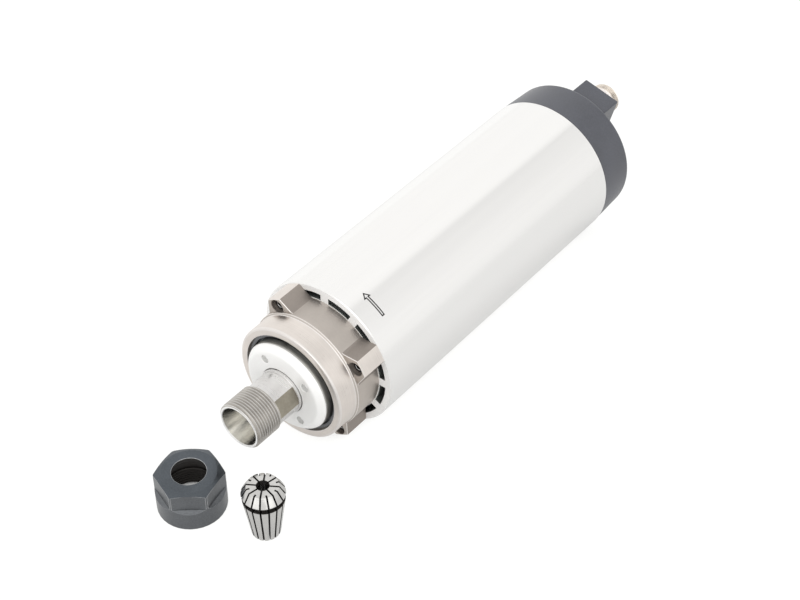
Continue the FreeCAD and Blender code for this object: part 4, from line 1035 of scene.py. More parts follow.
def nose_housing():
    """The cast nose with its lugs, before the counterbores are cut."""
    angles = [angle for _, angle in lugged]
    front_angles = [angle for _, angle in lugged_outline(LUG_EDGE)]
    edge_numbers = []
    side_numbers = []
    for (radius, _), (following, _) in zip(lugged, lugged[1:] + lugged[:1]):
        on_lug = max(radius, following) > BARREL_RADIUS + CLEAR_OF_BARREL
        on_top = min(radius, following) > LUG_RADIUS - CLEAR_OF_BARREL
        edge_numbers.append(1 if on_lug else 0)
        side_numbers.append(2 if on_top else 3 if on_lug else 0)
    barrel = softened([
        (COVER_SEAT, FRONT_BEARING, 0),
        (COVER_SEAT, NOSE_FACE, EDGE_ROUND, 2),
        (NOSE_RADIUS, NOSE_FACE, NOSE_ROUND, 2),
        (NOSE_RADIUS, NOSE_STEP, EDGE_ROUND, 0),
        (BARREL_RADIUS, NOSE_STEP + STEP_SLOPE, STEP_ROUND, 0),
        (BARREL_RADIUS, LUG_FRONT, 0),
        (SPIGOT_LIP, LUG_FRONT, 0),
    ], worn=1)[:-1]
    rows = [(round_ring(radius, along, angles), part) for radius, along, part in barrel[:-1]]
    rows.append((round_ring(BARREL_RADIUS, LUG_FRONT, front_angles), 0))
    for inset, along, numbers in (
        (LUG_EDGE, LUG_FRONT, edge_numbers), (0.0, LUG_FRONT + LUG_EDGE, side_numbers),
        (0.0, 0.0, 0),
    ):
        rows.append(([(r, a, along) for r, a in lugged_outline(inset)], numbers))
    inner = [
        (SPIGOT_RADIUS, 0.0), (SPIGOT_RADIUS, SPIGOT_END), (SPIGOT_LIP, SPIGOT_END),
        (SPIGOT_LIP, SECOND_BEARING_END), (BEARING_SEAT, SECOND_BEARING_END),
        (BEARING_SEAT, FRONT_BEARING), (COVER_SEAT, FRONT_BEARING),
    ]
    rows += [(round_ring(radius, along, angles), 0) for radius, along in inner]
    mesh = bmesh.new()
    add_skin(mesh, rows, about_spindle)
    return closed_object(
        "nose_housing", mesh, MATERIALS["nose_casting"], WORN_CASTING,
        MACHINED_CASTING, DARKER_CASTING,
    )


def on_circle(radius, degrees):
    """A place beside the spindle's axis, as (x, z)."""
    angle = math.radians(degrees)
    return radius * math.cos(angle), radius * math.sin(angle)


def beside_spindle(radius, degrees):
    """A place maker for an axis beside the spindle's, at a radius and an angle."""
    centre = on_circle(radius, degrees)
    return lambda r, angle, along: about_spindle(r, angle, along, centre)


nose = nose_housing()
print("nose housing before the cuts:", len(nose.data.polygons), "faces")

# %% The counterbores
MOUTH_CHAMFER = 0.25
TOOL_OVER = 1.0
seat = LUG_FRONT + COUNTERBORE_DEPTH
# The cutter's darker casting colour is painted shade on the counterbores' walls.
counterbore = turned(
    "counterbore",
    [
        (0.0, LUG_FRONT - TOOL_OVER, 0),
        (COUNTERBORE_RADIUS + TOOL_OVER + MOUTH_CHAMFER, LUG_FRONT - TOOL_OVER, 0),
        (COUNTERBORE_RADIUS, LUG_FRONT + MOUTH_CHAMFER, 0),
        (COUNTERBORE_RADIUS, seat, 0),
        (SCREW_HOLE_RADIUS, seat, 0),
        (SCREW_HOLE_RADIUS, TOOL_OVER, 0),
        (0.0, TOOL_OVER, 0),
    ],
    beside_spindle(LUG_SCREW_CIRCLE, LUG_ANGLE), [DARKER_CASTING], count=40,
)
copied_round(counterbore, 4)
cut_away(nose, counterbore)
hand_over(nose, "front_housing")

# %% [markdown]
# ## Socket screws
#
# A socket screw's head is a short cylinder with a rounded rim and a hexagon hole.
# The hole could be cut with a six-sided prism, which costs a boolean for each size
# of screw. It needs no cutting: the ring on the head's face is followed by a ring of
# as many points that lie on a hexagon. The last ring shrinks to a point, which is
# the end of the drill. The ring of copies sets the screws round the spindle.

# %% Finish of the screws' edges
WORN_SCREW = finish(
    "worn_screw_edge", (0.62, 0.61, 0.60), 0.3, grain(1500.0), spread=0.3,
)
print(WORN_SCREW.name)

# %% Screws
SCREW_STEPS = 48
RIM_SHARE = 0.14
SOCKET_EDGE_SHARE = 0.12 / 3.5
SOCKET_POINT = 0.5
TIP_CHAMFER = 0.3
HEAD_CHAMFER = 0.1


def hexagon_ring(corner_radius, along, angles):
    """A ring of points on a hexagon with this radius at its corners."""
    flat_radius = corner_radius * math.cos(math.pi / 6)
    ring = []
    for angle in angles:
        from_flat = (angle % (math.pi / 3)) - math.pi / 6
        ring.append((flat_radius / math.cos(from_flat), angle, along))
    return ring


def socket_screw(name, place, head, height, shank, seat_at, tip, socket, turn, into=1.0):
    """One socket screw; its socket is (radius at the hexagon's corners, depth).

    It points the way that the axis runs, or the other way where into is -1.
    """
    top = seat_at - into * height
    rim = RIM_SHARE * head
    angles = circle(SCREW_STEPS, turn)
    face = round_ring(head - rim, top, angles)
    profile = [
        (0.0, tip, 0), (shank - TIP_CHAMFER, tip, 0),
        (shank, tip - into * TIP_CHAMFER, 0), (shank, seat_at, 0),
        (head - HEAD_CHAMFER, seat_at, 0), (head, seat_at - into * HEAD_CHAMFER, 0),
        (head, top + into * rim, 1), (head - rim * 0.3, top + into * rim * 0.3, 1),
    ]
    rows = [(round_ring(radius, along, angles), number) for radius, along, number in profile]
    rows.append((face, 0))
    edge = SOCKET_EDGE_SHARE * head
    corner, depth = socket
    for widening, deep, number in ((edge * 1.6, 0.0, 1), (0.0, edge, 0), (0.0, depth, 0)):
        rows.append((hexagon_ring(corner + widening, top + into * deep, angles), number))
    rows.append((round_ring(0.0, top + into * (depth + SOCKET_POINT), angles), 0))
    mesh = bmesh.new()
    add_skin(mesh, rows, place)
    return closed_object(name, mesh, MATERIALS["black_steel"], WORN_SCREW)


lug_screws = socket_screw(
    "lug_socket_screws", beside_spindle(LUG_SCREW_CIRCLE, LUG_ANGLE),
    head=3.5, height=4.0, shank=2.0, seat_at=seat, tip=12.0, socket=(1.7, 2.2), turn=40.0,
)
copied_round(lug_screws, 4)
hand_over(lug_screws, "lug_screws")

# %% The cap's screws
CAP_SCREW_CIRCLE = 33.1
CAP_SCREW_SEAT = 205.4
cap_screws = socket_screw(
    "cap_socket_screws", beside_spindle(CAP_SCREW_CIRCLE, LUG_ANGLE),
    head=2.75, height=3.0, shank=1.5, seat_at=CAP_SCREW_SEAT, tip=175.0,
    socket=(1.335, 2.2), turn=15.0, into=-1.0,
)
copied_round(cap_screws, 4)
hand_over(cap_screws, "cap_screws")

# %% [markdown]
# ## The ring around the disc
#
# A dark threaded ring holds the bearings in the nose. Its front has four notches
# for a spanner. A cutter could mill them, but they are straight and simple, so they
# are in the rings' points: where a notch begins, two points share an angle and
# differ in radius, so the faces between them are its walls.

# %% Finish of the ring's edges
WORN_RING = finish(
    "worn_ring_edge", (0.42, 0.42, 0.42), 0.35, grain(700.0), spread=0.5, patches=0.2,
)
print(WORN_RING.name)

# %% The cover ring
COVER_FACE = NOSE_FACE + 1.6
COVER_RADIUS = COVER_SEAT - 0.02
COVER_BORE = 25.55
COVER_WEB = -23.0
COVER_WEB_BORE = 20.4
NOTCH_HALF = 1.3
NOTCH_DEPTH = 1.2
NOTCH_ANGLE = 20.0 - ROLL
NOTCH_STEPS = 5
RING_STEPS = 18
RING_EDGE = 0.25


def notched_rings():
    """Angles round the ring, and whether each point lies in a notch."""
    half = math.asin(NOTCH_HALF / COVER_BORE)
    points = []
    for k in range(4):
        middle = math.radians(NOTCH_ANGLE + QUARTER * k)
        points += [(middle + a, True) for a in spread_out(-half, half, NOTCH_STEPS)]
        rest = spread_out(half, math.pi / 2 - half, RING_STEPS)
        points += [(middle + a, False) for a in rest]
    return points


def cover_ring():
    """The threaded ring with its notches."""
    points = notched_rings()
    angles = [angle for angle, _ in points]

    def bore_row(along, widening, number):
        ring = [
            (COVER_BORE + (NOTCH_DEPTH if notched else widening), angle, along)
            for angle, notched in points
        ]
        return ring, number

    rows = [
        (round_ring(COVER_RADIUS, FRONT_BEARING, angles), 0),
        (round_ring(COVER_RADIUS, COVER_FACE + RING_EDGE, angles), 1),
        (round_ring(COVER_RADIUS - RING_EDGE, COVER_FACE, angles), 0),
        bore_row(COVER_FACE, RING_EDGE, 1),
        bore_row(COVER_FACE + RING_EDGE, 0.0, 0),
        bore_row(COVER_WEB, 0.0, 0),
        (round_ring(COVER_BORE, COVER_WEB, angles), 0),
        (round_ring(COVER_WEB_BORE, COVER_WEB, angles), 0),
        (round_ring(COVER_WEB_BORE, FRONT_BEARING, angles), 0),
    ]
    mesh = bmesh.new()
    add_skin(mesh, rows + rows[:1], about_spindle)
    return closed_object("cover_ring", mesh, MATERIALS["cover_steel"], WORN_RING)


hand_over(cover_ring(), "front_bearing_cover")

# %% [markdown]
# ## The dust disc
#
# The bright disc turns with the shaft. It is a turned profile with soft corners,
# and four drilled holes for a spanner, each with the cone of its drill. Holes off
# the axis don't fit in the rings of a turned face, so they are cut with a drill's
# shape that is repeated round the axis.

# %% Painted shade on the disc's rim and in its holes
# Painted shade: a mid grey on the disc's rim, beside the dark gap round it.
DISC_RIM_SHADE = finish(
    "disc_rim_painted_shade", (0.50, 0.50, 0.48), 0.4, rings(2500.0), spread=0.04, patches=0.05,
)
# The holes' walls are a little darker than the disc's face: painted shade in the holes.
HOLE_WALL_SHADE = finish(
    "drilled_hole_painted_shade", (0.84, 0.84, 0.83), 0.42, rings(2500.0), spread=0.04, metallic=0.65,
)
print(DISC_RIM_SHADE.name, HOLE_WALL_SHADE.name)

# %% The dust disc
DISC_RADIUS = 24.7
DISC_BEVEL_RADIUS = 24.2
DISC_FACE_RADIUS = 21.5
DISC_BEVEL_END = DISC_FACE + 2.4
DISC_RIM_START = DISC_FACE + 3.8
DISC_RIM_END = -24.0
DISC_RIM_BORE = DISC_RADIUS - 2.8
DISC_WEB_END = DISC_FACE + 5.5
DISC_HUB = 15.8
DISC_BORE = 12.52
disc = turned(
    "dust_cover_disc",
    softened([
        (DISC_BORE, DISC_FACE, 0.2),
        (DISC_FACE_RADIUS, DISC_FACE, 0.8),
        (DISC_BEVEL_RADIUS, DISC_BEVEL_END, 0.7),
        # Finish 1 on the rim is painted shade.
        (DISC_RADIUS, DISC_RIM_START, 0.5, 1),
        (DISC_RADIUS, DISC_RIM_END, 0.2, 1),
        (DISC_RIM_BORE, DISC_RIM_END, 0),
        (DISC_RIM_BORE, DISC_WEB_END, 0),
        (DISC_HUB, DISC_WEB_END, 0),
        (DISC_HUB, DISC_BACK, 0),
        (DISC_BORE, DISC_BACK, 0),
    ]),
    about_spindle, [MATERIALS["disc_aluminium"], DISC_RIM_SHADE], count=120,
)
print("disc before drilling:", len(disc.data.polygons), "faces")

# %% The disc's spanner holes
PIN_CIRCLE = 17.6
PIN_RADIUS = 2.2
PIN_DEPTH = 2.4
PIN_POINT = 1.1
PIN_CHAMFER = 0.2
PIN_ANGLE = FLAT_ANGLE + 14
drill = turned(
    "drill",
    [
        (0.0, DISC_FACE - TOOL_OVER, 0),
        (PIN_RADIUS + TOOL_OVER + PIN_CHAMFER, DISC_FACE - TOOL_OVER, 0),
        # Finish 1 on the hole's wall is painted shade.
        (PIN_RADIUS, DISC_FACE + PIN_CHAMFER, 1),
        (PIN_RADIUS, DISC_FACE + PIN_DEPTH, 0),
        (0.0, DISC_FACE + PIN_DEPTH + PIN_POINT, 0),
    ],
    beside_spindle(PIN_CIRCLE, PIN_ANGLE), [MATERIALS["disc_aluminium"], HOLE_WALL_SHADE],
    count=32,
)
copied_round(drill, 4)
cut_away(disc, drill)
hand_over(disc, "dust_disc")

# %% [markdown]
# ## The shaft
#
# The shaft's nose carries a thread with a pitch of 1.5 mm, then a smooth neck with
# two wrench flats, and a ground taper inside. A thread is often faked with plain
# hoops or a bump, but its run-out would show that here. So it is a real helix: a
# grid whose rows climb by one pitch for each turn, so the crests stay sharp. Rows
# that run past either end are held at the end, and vanish when points are merged.

# %% Finishes of the shaft
# Painted shade: a darker brown-grey on the shaft thread's roots and rising flanks, which darkens
# the valleys.
THREAD_VALLEY_SHADE = finish(
    "thread_valley_painted_shade", (0.50, 0.475, 0.44), 0.34, rings(900.0), spread=0.05, patches=0.12,
)
WRENCH_FLAT = finish(
    "milled_flat", (0.37, 0.34, 0.28), 0.36, grain(700.0), spread=0.08, patches=0.2,
)
GROUND_TAPER = finish(
    "ground_taper", (0.84, 0.83, 0.80), 0.16, rings(2600.0), spread=0.03, bump=0.01,
)
# Painted shade: a near-black colour for the shaft's relief bore, the nut's inside, the collet's
# groove and bore, and the saw cuts.
HOLLOW_SHADE = finish(
    "hollow_painted_shade", (0.05, 0.046, 0.043), 0.5, grain(1500.0), metallic=0.7,
    centre=COLLET_MIDDLE, turn=UPRIGHT,
)
print(THREAD_VALLEY_SHADE.name, WRENCH_FLAT.name, GROUND_TAPER.name, HOLLOW_SHADE.name)

# %% Threads
THREAD_PITCH = 1.5
THREAD_DEPTH = 0.9
THREAD_PROFILE = ((0.0, 1.0), (0.16, 1.0), (0.46, 0.0), (0.62, 0.0))


def thread_height(turns):
    """Height of a thread's profile, 0 in the root and 1 on the crest."""
    phase = turns % 1.0
    marks = [*THREAD_PROFILE, (1.0, THREAD_PROFILE[0][1])]
    for (first, low), (last, high) in zip(marks, marks[1:]):
        if first <= phase <= last:
            return low + (high - low) * (phase - first) / (last - first)
    return 1.0


def thread_rows(crest, root, start, end, pitch, columns, numbers, turn=0.0):
    """Rows of a helical skin between two places, with a lead-in at both ends.

    The first finish number is for the crest and one flank, the second for the root
    and the other flank.
    """
    marks = [mark for mark, _ in THREAD_PROFILE]
    turns = math.ceil((end - start) / pitch) + 1
    low, high = sorted((crest, root))
    rows = []
    for whole in range(-1, turns + 1):
        for mark in marks:
            ring = []
            for k in range(columns + 1):
                part = k / columns
                along = start + pitch * (whole + mark + part)
                along = min(max(along, start), end)
                height = thread_height((along - start) / pitch - part)
                radius = root + (crest - root) * height
                lead = min(along - start, end - along)
                if crest > root:
                    radius = min(radius, root + lead)
                else:
                    radius = max(radius, root - lead)
                ring.append((
                    min(max(radius, low), high),
                    math.radians(turn) + 2 * math.pi * part, along,
                ))
            rows.append((ring, numbers[1] if mark in marks[2:] else numbers[0]))
    return rows


print("thread height over a turn:", [thread_height(k / 4) for k in range(4)])

# %% Rings with flats
def flatted_ring(limit, half, along, turn, flats, flat_steps, round_steps, strip=0.0):
    """A round ring cut off by flats, with points at the flats' ends.

    A strip adds one point beside each end of a flat, at that distance from it.
    """
    edge = min(math.acos(half / limit), math.pi / flats) if limit > half else 0.0
    ring = []
    for side in range(flats):
        middle = math.radians(turn) + 2 * math.pi * side / flats
        for angle in spread_out(-edge, edge, flat_steps):
            ring.append((min(limit, half / math.cos(angle)), middle + angle, along))
        gap = 2 * math.pi / flats - edge
        aside = min(strip / limit, edge * 0.2)
        round_part = spread_out(edge + aside, gap - aside, round_steps)
        for angle in round_part if strip else round_part[1:-1]:
            ring.append((limit, middle + angle, along))
    return ring


print("a ring with two flats:", len(flatted_ring(2.0, 1.5, 0.0, 0.0, 2, 8, 40)), "points")

# %% The shaft
THREAD_RADIUS = 12.5
THREAD_ROOT = THREAD_RADIUS - THREAD_DEPTH
THREAD_END = -47.0
NECK_END = -34.5
FLAT_HALF = 10.5
TAPER_MOUTH = 10.5
TAPER_LENGTH = 24.3
COLLET_TAPER = math.tan(math.radians(8))
TAPER_END = SHAFT_MOUTH + TAPER_LENGTH
TAPER_END_RADIUS = TAPER_MOUTH - TAPER_LENGTH * COLLET_TAPER
MOUTH_LIP = 0.25
NECK_CHAMFER = 0.2
RELIEF_RADIUS = 6.2
RELIEF_END = TAPER_END + 14.0
SHAFT_COLUMNS = 96
SHAFT_FLAT_STEPS = 8
SHAFT_ROUND_STEPS = SHAFT_COLUMNS // 2 - SHAFT_FLAT_STEPS
# Radius and end of each step behind the neck: collar, front bearings, shoulder,
# rotor, tail, rear bearing, circlip's groove, end of the seat, and fan.
SHAFT_STEPS = (
    (12.2, -31.5), (12.5, 10.0), (15.8, 15.0), (11.0, 143.0), (9.0, 168.0),
    (7.5, 177.0), (6.9, 178.0), (7.5, 190.0), (5.0, SHAFT_END),
)


def shaft_behind_neck():
    """The rest of the shaft's outside, as (radius, place along the axis)."""
    start = NECK_END + NECK_CHAMFER
    corners = [(SHAFT_STEPS[0][0] - NECK_CHAMFER, NECK_END)]
    for radius, end in SHAFT_STEPS:
        corners += [(radius, start), (radius, end)]
        start = end
    return corners + [(0.0, SHAFT_END)]


def shaft():
    """The shaft with its thread, flats and taper."""
    angles = circle(SHAFT_COLUMNS, FLAT_ANGLE)
    # Number 2 on the relief bore is painted shade.
    inside = [
        (0.0, RELIEF_END, 2), (RELIEF_RADIUS, RELIEF_END, 2), (RELIEF_RADIUS, TAPER_END, 1),
        (TAPER_END_RADIUS, TAPER_END, 1), (TAPER_MOUTH, SHAFT_MOUTH + MOUTH_LIP, 0),
        # Number 4 on the mouth's narrow front face is a painted highlight.
        (TAPER_MOUTH + MOUTH_LIP, SHAFT_MOUTH, 4), (THREAD_ROOT, SHAFT_MOUTH, 0),
    ]
    flat_and_round = [3] * SHAFT_FLAT_STEPS + [0] * SHAFT_ROUND_STEPS
    neck = [(round_ring(THREAD_ROOT, THREAD_END, angles), 0)]
    for along, numbers in ((THREAD_END, flat_and_round * 2), (NECK_END, 0)):
        ring = flatted_ring(
            THREAD_ROOT, FLAT_HALF, along, FLAT_ANGLE, 2, SHAFT_FLAT_STEPS, SHAFT_ROUND_STEPS
        )
        neck.append((ring, numbers))
    behind = [(round_ring(radius, along, angles), 0) for radius, along in shaft_behind_neck()]
    mesh = bmesh.new()
    add_skin(
        mesh, [(round_ring(radius, along, angles), n) for radius, along, n in inside],
        about_spindle,
    )
    # Finish 5, on the thread's roots and rising flanks, is painted shade.
    add_skin(
        mesh,
        thread_rows(
            THREAD_RADIUS, THREAD_ROOT, SHAFT_MOUTH, THREAD_END, THREAD_PITCH,
            SHAFT_COLUMNS, (0, 5), FLAT_ANGLE,
        ),
        about_spindle, wrap=False,
    )
    add_skin(mesh, neck + behind, about_spindle)
    return closed_object(
        "nose_shaft", mesh, MATERIALS["shaft_steel"], GROUND_TAPER, HOLLOW_SHADE,
        WRENCH_FLAT, CUT_FACE_AND_HIGHLIGHT, THREAD_VALLEY_SHADE,
    )


hand_over(shaft(), "shaft", sharp_angle=14.0)

# %% [markdown]
# ## The clamping nut
#
# The nut is turned, with six flats milled on its upper part. A boolean between a
# turned shape and a hexagon would give the same form, with a ragged mesh along its
# curved edges. Here every ring is a circle cut off by the flats, and the number of
# points on a flat and on the round between two flats stays the same from ring to
# ring. So the curved edges, where the top's bevel meets a flat and where the flats
# run out, follow the points and stay crisp. The blackening has worn off on them.

# %% Finishes of the nut
# Painted shade: a darker copy of the blackened steel on the nut's top face and bevel.
NUT_CROWN_SHADE = finish(
    "nut_crown_painted_shade", (0.10, 0.112, 0.126), 0.36, grain(1600.0), metallic=0.9,
    spread=0.14, patches=0.08, centre=NUT_MIDDLE, turn=UPRIGHT,
)
WORN_NUT = finish(
    "worn_nut_edge", (0.46, 0.47, 0.48), 0.34, grain(500.0), spread=0.35, patches=0.2,
    centre=NUT_MIDDLE, turn=UPRIGHT,
)
print(NUT_CROWN_SHADE.name, WORN_NUT.name)

# %% The nut
NUT_TURN = 11.0
NUT_RADIUS = 17.0
NUT_FLAT_HALF = 15.0
NUT_HEIGHT = NUT_TOP - TABLE_DEPTH
NUT_FACE_RADIUS = 13.4
NUT_BEVEL_DROP = 1.9
NUT_FLAT_FOOT = NUT_HEIGHT - 10.2
NUT_RUNOUT = 3.9 / 5.4
NUT_MOUTH = 8.35
NUT_LIP = NUT_HEIGHT - 0.8
CLAMP_CONE = math.tan(math.radians(30))
NUT_CONE_RADIUS = 11.0
NUT_CONE = NUT_LIP - (NUT_CONE_RADIUS - NUT_MOUTH) / CLAMP_CONE
NUT_POCKET_RADIUS = 11.6
NUT_POCKET = NUT_CONE - 2.6
NUT_BORE = 12.55
NUT_RELIEF_RADIUS = NUT_BORE + 0.5
NUT_THREAD_END = 10.5
NUT_FOOT_CHAMFER = 0.5
NUT_MOUTH_ROUND = 0.2
# Rings lie closest where the bevel and the run-out begin to curve past a flat.
BEVEL_RINGS = (13.5, 14.8, 15.0, 15.15, 15.4, 15.8, 16.3, 16.7, NUT_RADIUS)
RUNOUT_RINGS = (NUT_FLAT_HALF, 15.2, 15.5, 15.9, 16.3, 16.6, 16.85, NUT_RADIUS)
NUT_FLAT_STEPS = 10
NUT_ROUND_STEPS = 6
NUT_SIDE_STEPS = NUT_FLAT_STEPS + 1 + NUT_ROUND_STEPS + 1
NUT_COLUMNS = 6 * NUT_SIDE_STEPS
NUT_WEAR = 0.22
nut_place = about_upright(NUT_MIDDLE)


def nut_ring(limit, half, height, number):
    """A ring of the nut's outside, with a worn strip beside each flat."""
    ring = flatted_ring(
        limit, half, height, NUT_TURN, 6, NUT_FLAT_STEPS, NUT_ROUND_STEPS, NUT_WEAR
    )
    one_side = [0] * NUT_FLAT_STEPS + [1] + [number] * NUT_ROUND_STEPS + [1]
    return ring, one_side * 6 if limit > half else number


def nut_outside():
    """Rings from the mouth over the top, down the flats and to the foot."""
    drop_rate = NUT_BEVEL_DROP / (NUT_RADIUS - NUT_FACE_RADIUS)
    # Number 2, on the top face and the bevel, is painted shade.
    rows = [nut_ring(NUT_FACE_RADIUS - 0.15, NUT_FLAT_HALF, NUT_HEIGHT, 2)]
    for limit in BEVEL_RINGS:
        height = NUT_HEIGHT - (limit - NUT_FACE_RADIUS) * drop_rate
        rows.append(nut_ring(limit, NUT_FLAT_HALF, height, 2 if limit < NUT_RADIUS else 0))
    for half in RUNOUT_RINGS:
        height = NUT_FLAT_FOOT - (half - NUT_FLAT_HALF) * NUT_RUNOUT
        rows.append(nut_ring(NUT_RADIUS, half, height, 0))
    for inset, height, number in (
        (0.0, NUT_FOOT_CHAMFER, 1), (0.15, 0.15, 1), (NUT_FOOT_CHAMFER, 0.0, 0),
    ):
        rows.append(nut_ring(NUT_RADIUS - inset, NUT_RADIUS, height, number))
    return rows


def nut():
    """The clamping nut with its thread."""
    angles = circle(NUT_COLUMNS, NUT_TURN)
    on_round = 0.3 * NUT_MOUTH_ROUND
    foot = [(NUT_BORE + NUT_FOOT_CHAMFER, 0.0, 0), (NUT_BORE, NUT_FOOT_CHAMFER, 0)]
    # Number 3 is painted shade on the nut's inside, and the nut's thread takes it too.
    above = [
        (NUT_BORE, NUT_THREAD_END, 3), (NUT_RELIEF_RADIUS, NUT_THREAD_END, 3),
        (NUT_RELIEF_RADIUS, NUT_POCKET, 3), (NUT_POCKET_RADIUS, NUT_POCKET, 3),
        (NUT_POCKET_RADIUS, NUT_CONE, 3), (NUT_CONE_RADIUS, NUT_CONE, 3),
        (NUT_MOUTH, NUT_LIP, 3), (NUT_MOUTH, NUT_HEIGHT - NUT_MOUTH_ROUND, 1),
        (NUT_MOUTH + on_round, NUT_HEIGHT - on_round, 1),
        (NUT_MOUTH + NUT_MOUTH_ROUND, NUT_HEIGHT, 2),
    ]
    outside = nut_outside()
    mesh = bmesh.new()
    rows = [(round_ring(radius, height, angles), n) for radius, height, n in above]
    add_skin(mesh, rows + outside, nut_place)
    rows = [(round_ring(radius, height, angles), n) for radius, height, n in foot]
    add_skin(mesh, [outside[-1]] + rows, nut_place)
    add_skin(
        mesh,
        thread_rows(
            NUT_BORE - THREAD_DEPTH, NUT_BORE, NUT_FOOT_CHAMFER, NUT_THREAD_END,
            THREAD_PITCH, NUT_COLUMNS, (3, 3), NUT_TURN,
        ),
        nut_place, wrap=False,
    )
    return closed_object(
        "clamping_nut", mesh, MATERIALS["nut_steel"], WORN_NUT, NUT_CROWN_SHADE, HOLLOW_SHADE
    )


hand_over(nut(), "collet_nut", sharp_angle=12.0)

# %% [markdown]
# ## The collet
#
# The collet is a turned piece with two cones and a groove, sawn from both ends.
# Eight cuts reach the bore from the top and eight from the foot. Each cut stops
# short of the other end near the bore, and goes through outside it. Slots drawn
# as dark lines would look flat at the rim, where the eye sees into them. So a saw
# blade of each kind is repeated eight times round the axis and then cut away. Its
# faces leave painted shade, a near-black colour, on the walls of the cut. The
# groove and the bore take the same painted shade.

# %% The collet
COLLET_HEIGHT = COLLET_TOP - TABLE_DEPTH
COLLET_RADIUS = 10.5
COLLET_BORE = 3.0
COLLET_FACE = 7.75
COLLET_RIM = COLLET_HEIGHT - (COLLET_RADIUS - COLLET_FACE) / CLAMP_CONE
COLLET_GROOVE = COLLET_RIM - 0.2
COLLET_SHOULDER = COLLET_GROOVE - 3.2
COLLET_GROOVE_RADIUS = 8.7
COLLET_WIDE = 10.2
COLLET_FOOT = COLLET_WIDE - COLLET_SHOULDER * COLLET_TAPER
COLLET_TURN = 33.5
SLOT_COUNT = 8
SLOT_HALF = 0.44
SLOT_WEB = 6.2
SLOT_FOOT = 5.5
SLOT_HEAD = COLLET_HEIGHT - 2.6
BLADE_START = 2.2
BLADE_END = 11.5
BLADE_OVER = 1.0
collet_place = about_upright(COLLET_MIDDLE)
# Number 1 on the groove and the bore is painted shade.
collet = turned(
    "spring_collet",
    softened([
        (COLLET_BORE, 0.0, 0.2, 0),
        (COLLET_FOOT, 0.0, 0.4, 0),
        (COLLET_WIDE, COLLET_SHOULDER, 0.25, 1),
        (COLLET_GROOVE_RADIUS, COLLET_SHOULDER, 0, 1),
        (COLLET_GROOVE_RADIUS, COLLET_GROOVE, 0, 1),
        (COLLET_RADIUS, COLLET_GROOVE, 0.08, 0),
        (COLLET_RADIUS, COLLET_RIM, 0.1, 0),
        (COLLET_FACE, COLLET_HEIGHT, 0.25, 0),
        (COLLET_BORE, COLLET_HEIGHT, 0.25, 1),
    ], steps=2),
    collet_place, [MATERIALS["collet_steel"], HOLLOW_SHADE], count=128, turn=COLLET_TURN,
)
print("collet before the cuts:", len(collet.data.polygons), "faces")


# %% The saw cuts
def saw_blade(name, corners, degrees):
    """A thin blade through the collet's axis line, from (radius, height) corners."""
    middle = math.radians(degrees)
    across = Vector((-math.sin(middle), math.cos(middle), 0.0)) * SLOT_HALF * MM

    def beside_blade(radius, side, height):
        """A point of the blade's left (-1) or right (1) face."""
        return collet_place(radius, middle, height) + across * side

    rows = [([(radius, side, height) for radius, height in corners], 0) for side in (-1, 1)]
    mesh = bmesh.new()
    for ring in add_skin(mesh, rows, beside_blade):
        mesh.faces.new(ring)
    # The blade's faces carry painted shade onto the walls of the cut.
    return closed_object(name, mesh, HOLLOW_SHADE)


below = -BLADE_OVER
above = COLLET_HEIGHT + BLADE_OVER
blades = {
    "top_blade": ([
        (BLADE_START, SLOT_FOOT), (SLOT_WEB, SLOT_FOOT), (SLOT_WEB, below),
        (BLADE_END, below), (BLADE_END, above), (BLADE_START, above),
    ], COLLET_TURN),
    "foot_blade": ([
        (BLADE_START, below), (BLADE_END, below), (BLADE_END, above),
        (SLOT_WEB, above), (SLOT_WEB, SLOT_HEAD), (BLADE_START, SLOT_HEAD),
    ], COLLET_TURN + 180 / SLOT_COUNT),
}
for name, (corners, degrees) in blades.items():
    blade = saw_blade(name, corners, degrees)
    copied_round(blade, SLOT_COUNT, axis=(0.0, 0.0, 1.0), centre=COLLET_MIDDLE)
    cut_away(collet, blade)
hand_over(collet, "collet")

# %% [markdown]
# ## The panel connector
#
# The connector's shell is a turned flange and barrel with a fine thread. It could
# be made about the spindle's axis and moved. But a finished piece keeps its object
# at the origin, so the same helpers lay its rings about another centre.

# %% Finish of the flange
# The flange is nearly white, paler than the barrel.
PALE_FLANGE = finish(
    "pale_flange_finish", (0.95, 0.91, 0.89), 0.45, grain(1500.0), spread=0.02, metallic=0.3,
)
print(PALE_FLANGE.name)

# %% The connector shell
PLUG_ANGLE = 90.0 - ROLL
PLUG_DISTANCE = 22.5
PLUG_START = reach("connector_shell", Y, 0)
PLUG_END = reach("connector_shell", Y)
BOX_END = PLUG_END - 10.0
FLANGE_END = BOX_END + 2.2
FLANGE_RADIUS = 9.8
PLUG_RADIUS = 8.5
PLUG_BORE = 6.6
PLUG_NECK = 7.0
PLUG_NECK_BORE = 6.0
INSERT_START = PLUG_END - 10.8
PLUG_PITCH = 1.0
COLLAR_END = FLANGE_END + 3.4
PLUG_THREAD_DEPTH = 0.5
PLUG_CHAMFER = 0.3
FLANGE_CHAMFER = 0.2
FLANGE_ROUND = 0.5
PLUG_COLUMNS = 72
plug_place = beside_spindle(PLUG_DISTANCE, PLUG_ANGLE)


